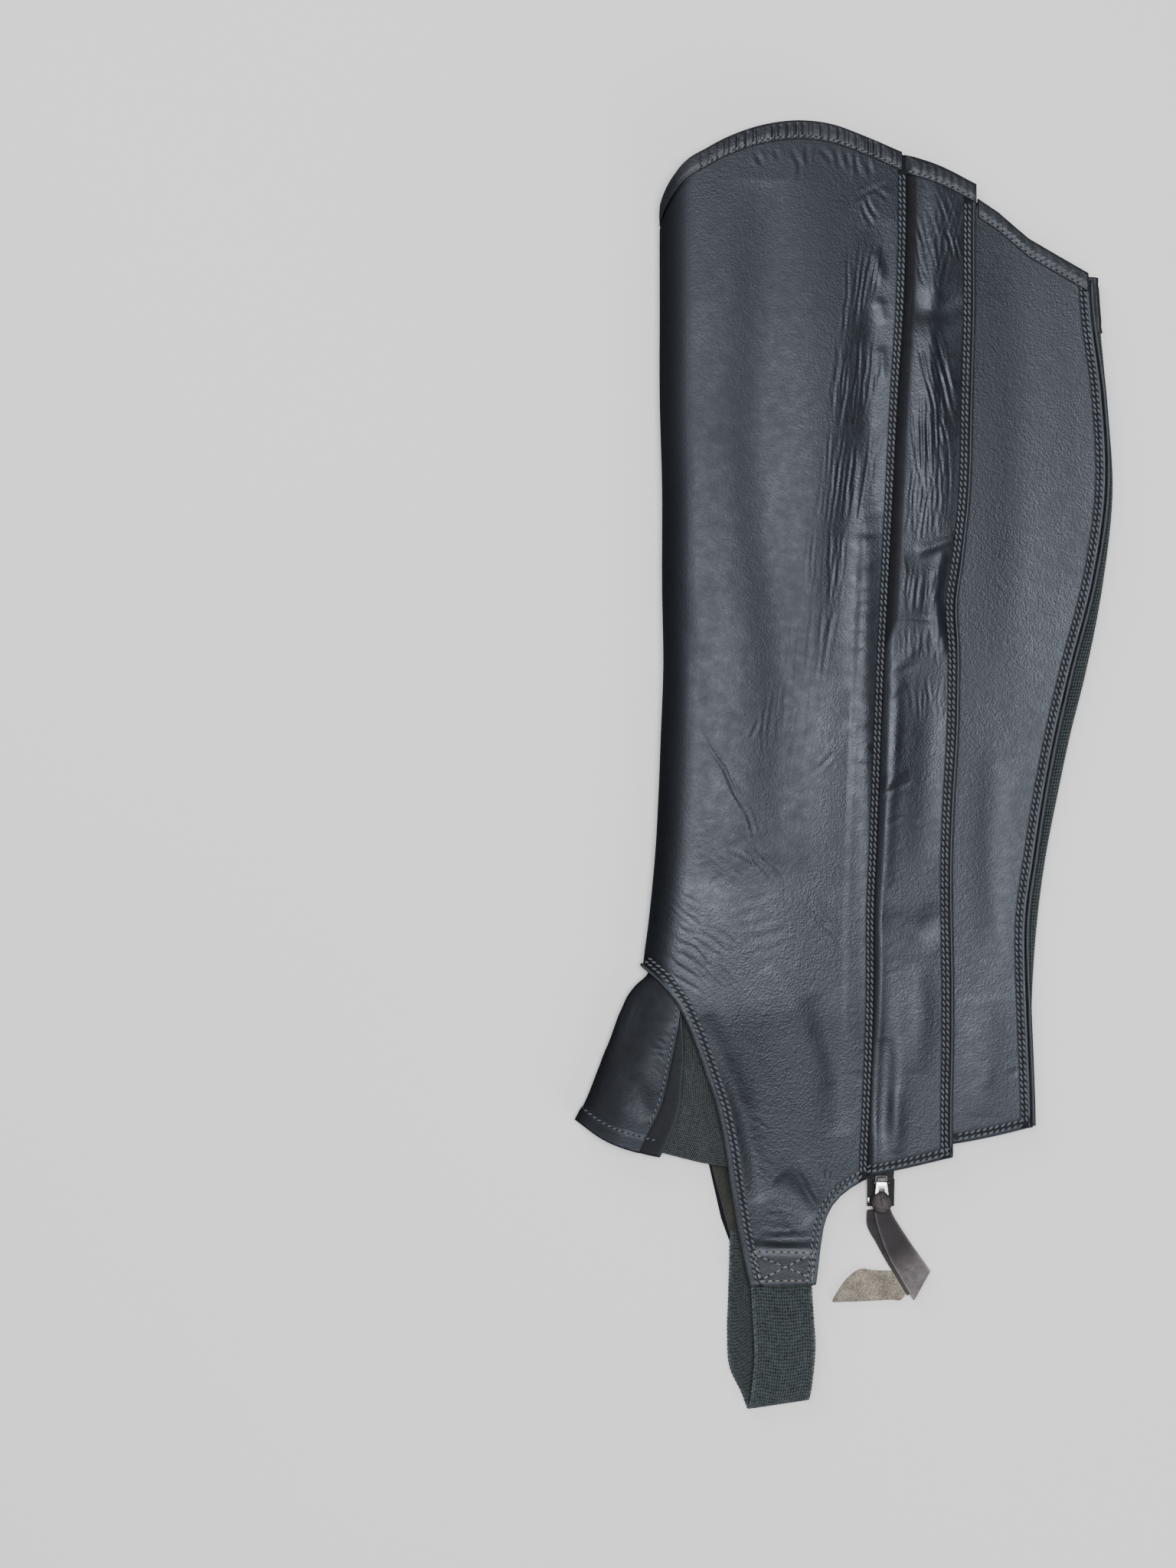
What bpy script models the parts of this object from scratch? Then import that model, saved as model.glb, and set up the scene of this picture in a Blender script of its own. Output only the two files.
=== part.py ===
"""One leather half chap, the gaiter of a riding outfit, laid flat on its inner side.

The leg is a tube pressed flat: it rests on the inner side at z = 0, the shin is the round fold at -X, the
elastic behind the calf is the fold at +X, and +Y points up the leg. Tables and sizes are in millimetres and
the meshes in metres.
"""

import math

import bmesh
import bpy
import numpy as np
from mathutils import Vector

MM = 0.001
LEATHER = 1.8
THIN_LEATHER = 1.2
ELASTIC = 1.2
STRAP = 1.4
TAPE = 1.0
SEAM_GAP = 0.3

# The leg's lines, from the top edge down to the strap's tab. height is the distance along the leg, and each
# other column is how far across the flattened leg that line lies. The outer side is highest along the ridge,
# which leaves the leg's own fold at the ankle to follow the tongue, and ridge_z is how high it stands.
#    height  shin   ridge  seam  flap  piping fold  ridge_z
LEG_LINES = np.array([
    (260.0, -78.5, -64.5, 23.5, 55.5, 100.0, 104.5, 20.0),
    (229.0, -79.0, -65.0, 23.5, 55.0, 102.5, 106.5, 20.5),
    (197.0, -79.0, -65.0, 22.5, 55.0, 104.0, 108.5, 21.0),
    (158.0, -79.0, -65.0, 20.0, 54.0, 109.0, 112.0, 21.0),
    (119.0, -78.0, -64.0, 18.0, 53.0, 110.5, 114.5, 21.0),
    (80.0, -78.0, -64.0, 16.0, 49.5, 105.0, 110.5, 21.0),
    (41.0, -77.5, -63.5, 14.0, 48.5, 95.0, 103.0, 21.0),
    (15.0, -78.5, -64.5, 13.0, 48.0, 89.0, 96.5, 20.5),
    (-11.0, -79.5, -65.5, 12.0, 46.5, 84.0, 91.0, 20.0),
    (-37.0, -81.0, -67.0, 11.0, 45.5, 80.0, 86.0, 19.5),
    (-63.0, -83.5, -69.5, 10.0, 45.5, 76.5, 82.5, 19.0),
    (-89.0, -86.5, -72.5, 10.0, 46.0, 76.5, 80.5, 18.2),
    (-102.0, -86.5, -74.0, 9.8, 46.0, 77.0, 80.0, 17.8),
    (-115.0, -86.5, -80.5, 9.5, 46.0, 77.5, 80.0, 17.2),
    (-141.0, -86.5, -93.5, 8.5, 45.5, 78.5, 80.5, 16.0),
    (-174.0, -86.5, -100.0, 7.0, 45.5, 79.0, 81.0, 14.0),
    (-222.0, -86.5, -100.0, 6.0, 45.5, 79.0, 81.0, 10.8),
])[::-1]
LEG_COLUMNS = ("height", "shin", "ridge", "seam", "flap", "piping", "fold", "ridge_z")
SHIN_FOLD = 14.0
CALF_Z = 10.4

# Edges across the leg, left to right: how far across, and how far up.
MAIN_TOP = ((-79.5, 237.0), (-77.8, 241.5), (-71.5, 252.0), (-58.5, 261.5), (-45.0, 268.0), (-32.0, 271.7),
            (-19.0, 273.0), (-6.0, 271.5), (7.0, 267.0), (24.0, 260.0))
FLAP_TOP = ((14.0, 262.0), (26.0, 259.0), (39.0, 255.0), (55.5, 247.0))
SIDE_TOP = ((20.0, 250.0), (40.0, 245.5), (54.9, 238.8), (56.2, 241.3), (65.0, 235.5), (72.0, 229.5),
            (78.0, 224.5), (91.0, 217.0), (105.0, 209.0))
INNER_TOP = ((-80.0, 237.5), (-40.0, 232.0), (106.0, 206.5))
ARCH = ((-86.6, -82.9), (-78.5, -89.7), (-70.4, -100.4), (-64.5, -113.1), (-58.7, -129.4), (-54.1, -143.3),
        (-50.5, -160.6), (-48.3, -175.8), (-45.0, -195.3), (-41.4, -212.9), (-39.8, -219.5))
TAB_AND_HEM = ((-12.5, -218.7), (-11.6, -211.5), (-10.6, -202.5), (-9.4, -194.5), (-8.0, -189.5),
               (-5.6, -184.8), (-2.2, -180.9), (2.2, -177.4), (8.0, -174.0))
FLAP_HEM = ((0.0, -174.0), (21.6, -170.0), (45.5, -164.5))
SIDE_HEM = ((15.0, -161.0), (46.3, -159.0), (65.2, -155.4), (79.0, -152.0))
INNER_ARCH = ((-86.6, -82.9), (-80.0, -91.5), (-74.5, -103.0), (-70.5, -116.0), (-66.5, -131.0),
              (-62.5, -147.0), (-57.7, -168.7), (-54.8, -184.0), (-50.5, -198.0), (-48.9, -209.5))
INNER_TAB_AND_HEM = ((-21.0, -209.0), (-19.5, -199.0), (-17.0, -188.0), (-12.0, -179.0), (-2.0, -172.0),
                     (7.0, -168.5), (45.7, -157.6), (79.0, -149.5))

# The hems' corners and curves fall on these lines down the leg, counted across from the crown to the seam.
MAIN_COLUMNS = (-68.0, -62.0, -58.0, -54.1, -50.5, -48.3, -45.0, -41.4, -39.8, -31.0, -22.0, -12.5, -11.6,
                -10.6, -9.4, -8.0, -5.6, -2.2, 2.2)
INNER_COLUMNS = (-66.5, -62.5, -57.7, -54.8, -50.5, -48.9, -35.0, -21.0, -19.0, -15.0, -10.0, -2.0, 7.0,
                 26.0, 45.7, 54.0)

# The leather round the leg is split along the underside here, as a share of the way round.
MAIN_END = 2.03
INNER_ENDS = (2.033, 2.997)
TAB_END = -219.0
MIDDLE_ROW = -75.0
LOW_START = -150.0
HIGH_START = 220.0
ARCH_APEX = -90.0

# The tongue over the instep: its fold line, its back edge, and the strip along that edge.
TONGUE_FOLD = ((-148.9, -114.6), (-142.0, -111.0), (-128.4, -105.5), (-115.4, -100.6), (-102.4, -95.4),
               (-95.0, -91.8), (-91.5, -89.0), (-87.5, -84.6), (-84.0, -82.8), (-76.0, -82.2))
TONGUE_EDGE = ((-160.0, -86.5), (-155.3, -84.3), (-143.3, -78.5), (-124.5, -73.9), (-103.7, -70.4),
               (-92.0, -69.5))
FACING_EDGE = ((-166.0, -79.5), (-154.7, -74.0), (-143.3, -70.4), (-131.6, -69.4), (-119.9, -68.7),
               (-105.0, -69.4), (-98.0, -69.0))
TONGUE_HEM = ((-114.6, -148.9), (-102.9, -157.0), (-86.6, -163.0), (-78.5, -164.8), (-50.0, -169.5))
TONGUE_DROP = 3.2
TONGUE_NEST = 3.6
TONGUE_NEST_DROP = 1.2
TONGUE_SET_BACK = 8.0
HEM_BAND = 7.5
HEM_RAISE = 0.5
UNDER_ARCH = 6.0
UNDERLAP = 5.0
GUSSET = 1.0
GUSSET_HEM = ((-82.0, -161.8), (-57.7, -167.8), (-40.0, -170.5))
GUSSET_TOP = -101.0
INNER_GUSSET_SHORTER = 4.0
FACING_TOP = -98.0
# Where the tongue's inner half lifts off the table, and where its outer half sinks: the height, and over
# what length.
TONGUE_LIFT = (-128.0, 20.0)
TONGUE_SINK = (-112.0, 16.0)

FLAP_UNDERLAP = 7.0
FLAP_VALLEY = 5.5
FLAP_FIRST_SHOWN = 3
FLAP_TOP_AT_SEAM = 259.0
FLAP_TOP_UNDER_MAIN = 251.5
FLAP_DENT = (69.0, 14.0, 1.6)
ZIP_FROM_SEAM = 8.0
ZIP_WIDTH = 24.0
ZIP_END = -186.0
SIDE_FROM_SEAM = 12.0
SIDE_SHARES = (0.0, 0.1, 0.2, 0.297, 0.323, 0.42, 0.52, 0.63, 0.74, 0.87, 1.0)
SIDE_FIRST_SHOWN = 4
SIDE_DROP = LEATHER + 2 * SEAM_GAP
ZIP_DROP = 2 * LEATHER + 3 * SEAM_GAP
CALF_DROP = SIDE_DROP + LEATHER + SEAM_GAP
BINDING_WIDTH = 7.0
BINDING_RECESS = SEAM_GAP + 0.9
BINDING = 0.9
ELASTIC_FOLD = 3.0
CAP_TOP_ENDS = (186.0, 209.5)
CAP_BOTTOM_ENDS = (-152.4, -128.7)
CAP_FLUTES = 8
CAP_FLUTE_HEIGHT = 0.9
CAP_FIRST_FLUTE = 1.05
PIPING_RADIUS = 0.9
PIPING_ENDS = (-151.5, 208.0)

STRAP_WIDTH = 26.0
#               up      z     middle  slant
STRAP_ROUTE = ((-194.0, 9.1, -27.0, 0.0), (-207.0, 8.4, -27.0, 0.0), (-219.0, 7.8, -27.1, 0.0),
               (-232.0, 7.9, -26.4, 0.03), (-247.0, 7.9, -25.6, 0.08), (-260.0, 7.2, -26.6, 0.12),
               (-266.5, 6.3, -27.4, 0.15), (-269.6, 4.6, -28.0, 0.15), (-270.2, 3.2, -28.4, 0.15),
               (-268.8, 1.6, -29.2, 0.15), (-265.5, 0.7, -30.4, 0.14), (-255.0, 0.7, -35.6, 0.1),
               (-240.0, 0.7, -37.0, 0.05), (-226.0, 0.7, -36.6, 0.0), (-219.0, 1.5, -36.4, 0.0),
               (-212.5, 2.9, -36.2, 0.0), (-204.0, 2.9, -36.0, 0.0), (-196.0, 2.9, -35.8, 0.0))

ZIP_X = 15.4
ZIP_TOP = 232.0
ZIP_TAPE_END_HALF = 5.6
# Where the tape narrows and sags below the hems: from what height, and over what length.
ZIP_NARROWS = (-154.0, 14.0)
ZIP_SAGS = (-168.0, 18.0)
ZIP_SAG = 3.0
ZIP_FREE_END = -174.0
#                 up     half width  height over the tape
SLIDER_FORM = ((-172.6, 2.6, 1.2), (-173.6, 3.8, 2.0), (-175.0, 4.2, 2.3), (-177.5, 4.2, 2.3),
               (-179.6, 3.6, 1.9), (-180.8, 2.6, 1.2))
SLIDER_HEIGHT = 2.3
PULL_AXIS_Y = -175.6
PULL_SIZE = (6.4, 6.2, 1.0)
PULL_CORNER = 1.2
PULL_HOLE = (3.4, 2.6)
KNOT_PLACE = (15.4, -186.6)
KNOT_RADII = (4.4, 4.2, 3.4)
KNOT_RAISE = 0.2
KNOT_SEAT_Y = -181.0
LACE = 1.5
#                x      y      z    half width
LACE_FRONT = ((15.9, -187.6, 4.3, 3.2), (17.3, -192.0, 4.4, 3.8), (20.2, -198.5, 4.3, 4.7),
              (24.2, -206.0, 3.9, 5.5), (28.6, -213.0, 3.4, 5.9), (33.0, -220.0, 3.1, 6.2))
LACE_BACK = ((12.6, -187.8, 2.4, 2.8), (13.2, -193.5, 2.3, 3.4), (15.6, -201.0, 1.9, 3.9),
             (19.0, -210.8, 1.3, 4.0))
#               x     low     high
LACE_TAIL = ((37.4, -221.6, -216.0), (33.0, -225.0, -214.4), (27.0, -225.9, -214.2), (20.3, -226.2, -214.2),
             (13.0, -226.6, -214.0), (6.3, -226.9, -213.7), (0.6, -227.1, -219.6), (-4.8, -227.3, -226.3))

# The largest folds and hollows of the main panel and of the flap: where the middle lies, its direction
# from the X axis, half its length and width, and how high it stands (a hollow is negative).
#          across   up   turn  length width height
FOLDS = np.array([
    (0.0, 150.0, 92.0, 62.0, 9.0, -0.9),
    (9.0, 8.0, 91.0, 110.0, 4.0, 0.5),
    (-35.0, -150.0, 100.0, 45.0, 10.0, -0.6),
    (36.0, 190.0, 88.0, 60.0, 4.0, 0.6),
    (40.0, 76.0, 60.0, 14.0, 6.0, -1.0),
    (16.0, -130.0, 88.0, 30.0, 4.0, -0.8),
    (-51.0, -2.0, -54.0, 12.0, 3.5, -0.7),
    (-8.0, -56.0, -40.0, 12.0, 3.5, -0.6),
])


def smooth(xs, ys, x):
    """The smooth curve through the points (xs, ys), read at x. It goes on straight past its ends."""
    xs = np.asarray(xs, float)
    ys = np.asarray(ys, float)
    x = np.asarray(x, float)
    slopes = np.gradient(ys, xs)
    i = np.clip(np.searchsorted(xs, x) - 1, 0, len(xs) - 2)
    step = xs[i + 1] - xs[i]
    t = np.clip((x - xs[i]) / step, 0.0, 1.0)
    inside = (ys[i] * (1 + 2 * t) * (1 - t) ** 2 + ys[i + 1] * t * t * (3 - 2 * t)
              + step * slopes[i] * t * (1 - t) ** 2 + step * slopes[i + 1] * t * t * (t - 1))
    before = np.minimum(x - xs[0], 0.0) * slopes[0]
    after = np.maximum(x - xs[-1], 0.0) * slopes[-1]
    return inside + before + after


def straight(points, x):
    """The line of straight runs through the points, read at x."""
    table = np.array(points, float)
    return np.interp(x, table[:, 0], table[:, 1])


def rounded(points, x):
    """The smooth curve through the points, read at x."""
    table = np.array(points, float)
    return smooth(table[:, 0], table[:, 1], x)


def leg(column, y):
    """One of the leg's lines, read at height y."""
    return smooth(LEG_LINES[:, 0], LEG_LINES[:, LEG_COLUMNS.index(column)], y)


def ease(t):
    t = np.clip(t, 0.0, 1.0)
    return t * t * (3 - 2 * t)


def level(x, y):
    """Height of the main panel's outer face, and of that face carried on across the calf."""
    across = (x - leg("ridge", y)) / (leg("piping", y) - leg("ridge", y))
    return CALF_Z + (leg("ridge_z", y) - CALF_Z) * (1 - ease(across))


def folds(x, y):
    """What the folds and hollows add to the outer face."""
    total = np.zeros(np.broadcast(x, y).shape)
    for across, up, turn, length, width, height in FOLDS:
        c = math.cos(math.radians(turn))
        s = math.sin(math.radians(turn))
        along = ((x - across) * c + (y - up) * s) / length
        beside = ((y - up) * c - (x - across) * s) / width
        total += height * np.exp(-along ** 2 - beside ** 2)
    return total


def inner_seam(y):
    """Where the inner panel meets the elastic on the underside, from the width of the elastic."""
    width = 26.0 + 5.0 * ease((y + 130.0) / 315.0)
    return 2 * leg("fold", y) - leg("piping", y) - width + 3.1


def leg_point(u, y, out):
    """A point on the leather round the leg, out mm off its outer face.

    u goes from 0 at the flap seam to 1 at the crown, 2 where the shin's fold meets the table, and 3 at the
    inner seam of the elastic.
    """
    u, y, out = np.broadcast_arrays(np.asarray(u, float), y, out)
    crown = leg("shin", y) + SHIN_FOLD
    half_height = level(crown, y) / 2
    half_width = SHIN_FOLD
    top_x = leg("seam", y) + (crown - leg("seam", y)) * u
    angle = math.pi * (0.5 + np.clip(u - 1, 0, 1))
    nx = np.cos(angle) / half_width
    nz = np.sin(angle) / half_height
    length = np.hypot(nx, nz)
    fold_x = crown + half_width * np.cos(angle) + out * nx / length
    fold_z = half_height * (1 + np.sin(angle)) + out * nz / length
    under_x = crown + (inner_seam(y) - crown) * (u - 2)
    x = np.where(u <= 1, top_x, np.where(u <= 2, fold_x, under_x))
    z = np.where(u <= 1, level(top_x, y) + out, np.where(u <= 2, fold_z, -out))
    return np.stack([x, y, z], axis=-1)


def leg_recess(u):
    """How deep the top edge is let in under its binding, so that the underside stays flat."""
    return BINDING_RECESS * ease((np.asarray(u, float) - 1.0) / 0.6)


def end_of_column(edge, x_of_y, start):
    """Where a line down the leg meets an edge: its height there."""
    y = np.full_like(np.asarray(x_of_y(start), float), start)
    for _ in range(12):
        y = edge(x_of_y(y))
    return y


def material(name, colour, roughness, metallic=0.0):
    made = bpy.data.materials.new(name)
    made.use_nodes = True
    shader = made.node_tree.nodes["Principled BSDF"]
    shader.inputs["Base Color"].default_value = (*colour, 1.0)
    shader.inputs["Roughness"].default_value = roughness
    shader.inputs["Metallic"].default_value = metallic
    return made


def new_object(name, mesh_builder, look, pivot=None):
    """Makes the object from its bmesh, hung on the pivot empty if it turns with it."""
    bmesh.ops.recalc_face_normals(mesh_builder, faces=mesh_builder.faces)
    if pivot is not None:
        bmesh.ops.translate(mesh_builder, vec=-pivot.location, verts=mesh_builder.verts)
    mesh = bpy.data.meshes.new(name)
    mesh_builder.to_mesh(mesh)
    mesh_builder.free()
    mesh.materials.append(look)
    mesh.shade_smooth()
    mesh.set_sharp_from_angle(angle=math.radians(40))
    made = bpy.data.objects.new(name, mesh)
    made.parent = pivot
    bpy.context.scene.collection.objects.link(made)
    return made


def wall(name, outer, inner, look, pivot=None):
    """A closed wall between two grids of points, given as rows by columns by 3 in millimetres."""
    rows, columns = outer.shape[:2]
    built = bmesh.new()
    faces_of = []
    for grid in (outer, inner):
        points = [[built.verts.new(Vector(grid[i, j]) * MM) for j in range(columns)] for i in range(rows)]
        faces_of.append(points)
        for i in range(rows - 1):
            for j in range(columns - 1):
                built.faces.new((points[i][j], points[i][j + 1], points[i + 1][j + 1], points[i + 1][j]))
    rim = [(0, j) for j in range(columns)] + [(i, columns - 1) for i in range(1, rows)]
    rim += [(rows - 1, j) for j in range(columns - 2, -1, -1)] + [(i, 0) for i in range(rows - 2, 0, -1)]
    near, far = faces_of
    for (i, j), (k, m) in zip(rim, rim[1:] + rim[:1]):
        built.faces.new((near[i][j], near[k][m], far[k][m], far[i][j]))
    return new_object(name, built, look, pivot)


def swept(name, sections, look, pivot=None):
    """A closed body through cross-sections that all have the same number of points, in millimetres."""
    built = bmesh.new()
    rings = [[built.verts.new(Vector(point) * MM) for point in section] for section in sections]
    for ring, following in zip(rings, rings[1:]):
        for k in range(len(ring)):
            after = (k + 1) % len(ring)
            built.faces.new((ring[k], ring[after], following[after], following[k]))
    built.faces.new(rings[0])
    built.faces.new(rings[-1])
    return new_object(name, built, look, pivot)


def rows_between(bottom, middle, top, low_rows, high_rows, edge_row):
    """Heights of the grid's rows: even below the middle, even above it, and one just under the top edge."""
    low = [bottom + (middle - bottom) * k / low_rows for k in range(low_rows)]
    high = [middle + (top - edge_row - middle) * k / high_rows for k in range(high_rows + 1)]
    return np.array(low + high + [top - edge_row + 1.0, top])


def plan_grid(x_at, bottom, top, rows):
    """Points of a panel whose lines down the leg are x_at(y), as rows by columns, between two edges."""
    low = end_of_column(bottom, x_at, LOW_START)
    high = end_of_column(top, x_at, HIGH_START)
    y = low + (high - low) * np.linspace(0, 1, rows)[:, None]
    return x_at(y), y


def flat_wall(name, x, y, top_z, thickness, look):
    """A wall whose outer face stands at top_z over the plan grid x, y, with its inner face below it."""
    outer = np.stack([x, y, top_z], axis=-1)
    inner = np.stack([x, y, top_z - thickness], axis=-1)
    return wall(name, outer, inner, look)


def leather_round_leg(name, shares, low_edge, high_edge, look, low_rows, high_rows):
    """A panel of the leather round the leg between shares[0] and shares[-1] of the way round."""
    shares = np.asarray(shares, float)

    def x_at(y):
        return leg_point(shares, y, 0.0)[..., 0]

    bottom = end_of_column(lambda x: low_edge(x, shares), x_at, LOW_START)
    top = end_of_column(lambda x: high_edge(x, shares), x_at, HIGH_START)
    middle = np.full_like(bottom, MIDDLE_ROW)
    y = rows_between(bottom, middle, top, low_rows, high_rows, BINDING_WIDTH + 2.0)
    let_in = np.zeros_like(y)
    let_in[-2:] = leg_recess(shares)
    plain = leg_point(shares, y, -let_in)
    outer = plain.copy()
    outer[..., 2] += np.where(shares <= 1, folds(plain[..., 0], plain[..., 1]) * ease(2 - 2 * shares), 0.0)
    inner = leg_point(shares, y, -let_in - LEATHER)
    return wall(name, outer, inner, look)


def main_low_edge(x, shares):
    outer = np.where(x < ARCH[-1][0], straight(ARCH, x), straight((ARCH[-1],) + TAB_AND_HEM, x))
    under = straight(INNER_ARCH, x)
    return np.where(shares <= 1.5, outer, under)


def main_high_edge(x, shares):
    return np.where(shares <= 1.5, rounded(MAIN_TOP, x), rounded(INNER_TOP, x))


def inner_low_edge(x, shares):
    tab = straight((INNER_ARCH[-1],) + INNER_TAB_AND_HEM, x)
    return np.where(x < INNER_ARCH[-1][0], straight(INNER_ARCH, x), tab)


def binding(name, place, top, shares, look):
    """A strip folded over a top edge. place(share, y, out) is a point off the panel's outer face."""
    width = BINDING_WIDTH
    near = SEAM_GAP
    far = SEAM_GAP + BINDING
    inside = -LEATHER - SEAM_GAP
    corner = BINDING * 0.4
    section = ((-width, near), (-width, far), (near + corner, far), (far, near + corner),
               (far, inside - corner), (near + corner, inside - BINDING), (-width, inside - BINDING),
               (-width, inside), (near, inside), (near, near))
    sections = []
    for share, edge in zip(shares, top):
        sections.append([place(share, edge + up, out) for up, out in section])
    return swept(name, sections, look)


def build_leg_leather(look, binding_look):
    low_seam = float(leg("seam", TAB_END))
    low_crown = float(leg("shin", TAB_END)) + SHIN_FOLD
    top_shares = [(low_seam - x) / (low_seam - low_crown) for x in MAIN_COLUMNS]
    round_shin = [1 + k / 9 for k in range(10)]
    shares = [0.0] + sorted(top_shares) + round_shin + [MAIN_END]
    leather_round_leg("main_panel", shares, main_low_edge, main_high_edge, look, 8, 20)
    low_inner = float(inner_seam(TAB_END))
    under = [2 + (x - low_crown) / (low_inner - low_crown) for x in INNER_COLUMNS]
    under_shares = [INNER_ENDS[0]] + under + [INNER_ENDS[1]]
    leather_round_leg("inner_panel", under_shares, inner_low_edge, main_high_edge, look, 6, 9)

    strip = np.array([0.0, 0.1, 0.2, 0.3, 0.4, 0.5, 0.6, 0.7, 0.8, 0.9] + round_shin
                     + [2.2, 2.4, 2.6, 2.8, INNER_ENDS[1]])

    def x_at(y):
        return leg_point(strip, y, 0.0)[..., 0]

    def place(share, y, out):
        return leg_point(share, y, out - leg_recess(share))

    top = end_of_column(lambda x: main_high_edge(x, strip), x_at, HIGH_START)
    binding("main_binding", place, top, strip, binding_look)


def flap_right(y):
    middle, reach, depth = FLAP_DENT
    return leg("flap", y) - depth * np.exp(-((y - middle) / reach) ** 2)


def flap_level(x, y):
    """The flap's outer face: under the main panel's edge, then up out of the valley beside the seam."""
    past = (x - leg("seam", y)) / FLAP_VALLEY
    return level(x, y) - (LEATHER + SEAM_GAP) + LEATHER * ease(past)


def build_flap(look, binding_look):
    past_seam = SEAM_GAP + BINDING
    offsets = np.array([-FLAP_UNDERLAP, -3.5, 0.4] + [past_seam] * 9)
    shares = np.array([0.0, 0.0, 0.0, 0.0, 0.07, 0.15, 0.27, 0.42, 0.58, 0.74, 0.88, 1.0])

    def x_at(y):
        seam = leg("seam", y)
        return seam + offsets + (flap_right(y) - seam - past_seam) * shares

    def top(x):
        under_main = np.where(offsets == past_seam, FLAP_TOP_AT_SEAM, FLAP_TOP_UNDER_MAIN)
        return np.where(shares > 0, rounded(FLAP_TOP, x), under_main)

    x, y = plan_grid(x_at, lambda x: rounded(FLAP_HEM, x), top, 31)
    z = flap_level(x, y)
    raised = folds(x, y) * ease((x - leg("seam", y)) / FLAP_VALLEY)
    wall("flap", np.stack([x, y, z + raised], axis=-1), np.stack([x, y, z - LEATHER], axis=-1), look)

    def place(column, y, out):
        at = x_at(y)[column]
        return np.array([at, y, flap_level(at, y) + out])

    strip = range(FLAP_FIRST_SHOWN, len(shares))
    binding("flap_binding", place, y[-1, list(strip)], strip, binding_look)


def side_level(x, y):
    return level(x, y) - SIDE_DROP


def build_side(look, binding_look):
    shares = np.array(SIDE_SHARES)

    def x_at(y):
        left = leg("seam", y) + SIDE_FROM_SEAM
        return left + (leg("piping", y) - left) * shares

    x, y = plan_grid(x_at, lambda x: rounded(SIDE_HEM, x), lambda x: straight(SIDE_TOP, x), 19)
    flat_wall("side_panel", x, y, side_level(x, y), LEATHER, look)

    def place(column, y, out):
        at = x_at(y)[column]
        return np.array([at, y, side_level(at, y) + out])

    strip = range(SIDE_FIRST_SHOWN, len(shares))
    binding("side_binding", place, y[-1, list(strip)], strip, binding_look)


def elastic_point(v, y, out):
    """A point out mm off the elastic's outer face.

    v goes from 0 under the side panel's edge to 1 where the fold behind the calf starts, 2 where it meets
    the table, and 3 at the inner panel.
    """
    v, y, out = np.broadcast_arrays(np.asarray(v, float), y, out)
    start = leg("piping", y) - UNDERLAP - 1.0
    turn = leg("fold", y) - ELASTIC_FOLD
    top_x = start + (turn - start) * v
    top_z = level(top_x, y) - CALF_DROP
    half_height = (level(turn, y) - CALF_DROP) / 2
    angle = math.pi * (0.5 - np.clip(v - 1, 0, 1))
    nx = np.cos(angle) / ELASTIC_FOLD
    nz = np.sin(angle) / half_height
    length = np.hypot(nx, nz)
    fold_x = turn + ELASTIC_FOLD * np.cos(angle) + out * nx / length
    fold_z = half_height * (1 + np.sin(angle)) + out * nz / length
    under_x = turn + (inner_seam(y) + SEAM_GAP - turn) * (v - 2)
    x = np.where(v <= 1, top_x, np.where(v <= 2, fold_x, under_x))
    z = np.where(v <= 1, top_z + out, np.where(v <= 2, fold_z, -out))
    return np.stack([x, y, z], axis=-1)


def cap(name, ends, look):
    """A gathered leather cap round one end of the elastic, with its flutes running along the leg."""
    middle = (ends[0] + ends[1]) / 2
    piping_to_turn = float(leg("fold", middle) - ELASTIC_FOLD - leg("piping", middle))
    if piping_to_turn > SEAM_GAP:
        start = (UNDERLAP + 1.0 + SEAM_GAP) / (UNDERLAP + 1.0 + piping_to_turn)
    else:
        start = 1 + math.asin((SEAM_GAP - piping_to_turn) / ELASTIC_FOLD) / math.pi
    v = np.concatenate([np.linspace(start, 2.0, 18), np.linspace(2.0, 3.0, 19)[1:]])
    y = np.linspace(ends[0], ends[1], 5)[:, None] + 0.0 * v
    plain = elastic_point(v, y, 0.0)
    clear_of_piping = ease((plain[..., 0] - leg("piping", y) - 2 * PIPING_RADIUS - 2 * SEAM_GAP) / 0.8)
    shown = np.where(v > 1.5, 1.0, clear_of_piping)
    turns = CAP_FLUTES * np.clip((v - CAP_FIRST_FLUTE) / (3.0 - CAP_FIRST_FLUTE), 0, 1)
    wave = 0.5 - 0.5 * np.cos(2 * math.pi * turns)
    base = -CAP_FLUTE_HEIGHT * ease((v - 1.2) / 0.6)
    outer = elastic_point(v, y, base + CAP_FLUTE_HEIGHT * wave * shown)
    inner = elastic_point(v, y, base - THIN_LEATHER)
    wall(name, outer, inner, look)


def build_calf(elastic_look, leather_look):
    v = np.concatenate([[0.0, 0.5], np.linspace(1, 2, 8), [2.25, 2.5, 2.75, 3.0]])
    low = CAP_BOTTOM_ENDS[1] + SEAM_GAP
    high = CAP_TOP_ENDS[0] - SEAM_GAP
    y = np.linspace(low, high, 19)[:, None] + 0.0 * v
    wall("elastic_panel", elastic_point(v, y, 0.0), elastic_point(v, y, -ELASTIC), elastic_look)
    cap("cap_top", CAP_TOP_ENDS, leather_look)
    cap("cap_bottom", CAP_BOTTOM_ENDS, leather_look)
    sections = []
    for height in np.linspace(*PIPING_ENDS, 30):
        x = leg("piping", height) + 2 * SEAM_GAP + PIPING_RADIUS
        z = level(x, height) - CALF_DROP + SEAM_GAP + PIPING_RADIUS
        around = [math.pi * k / 3 for k in range(6)]
        sections.append([(x + PIPING_RADIUS * math.cos(a), height, z + PIPING_RADIUS * math.sin(a))
                         for a in around])
    swept("elastic_piping", sections, leather_look)


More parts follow.
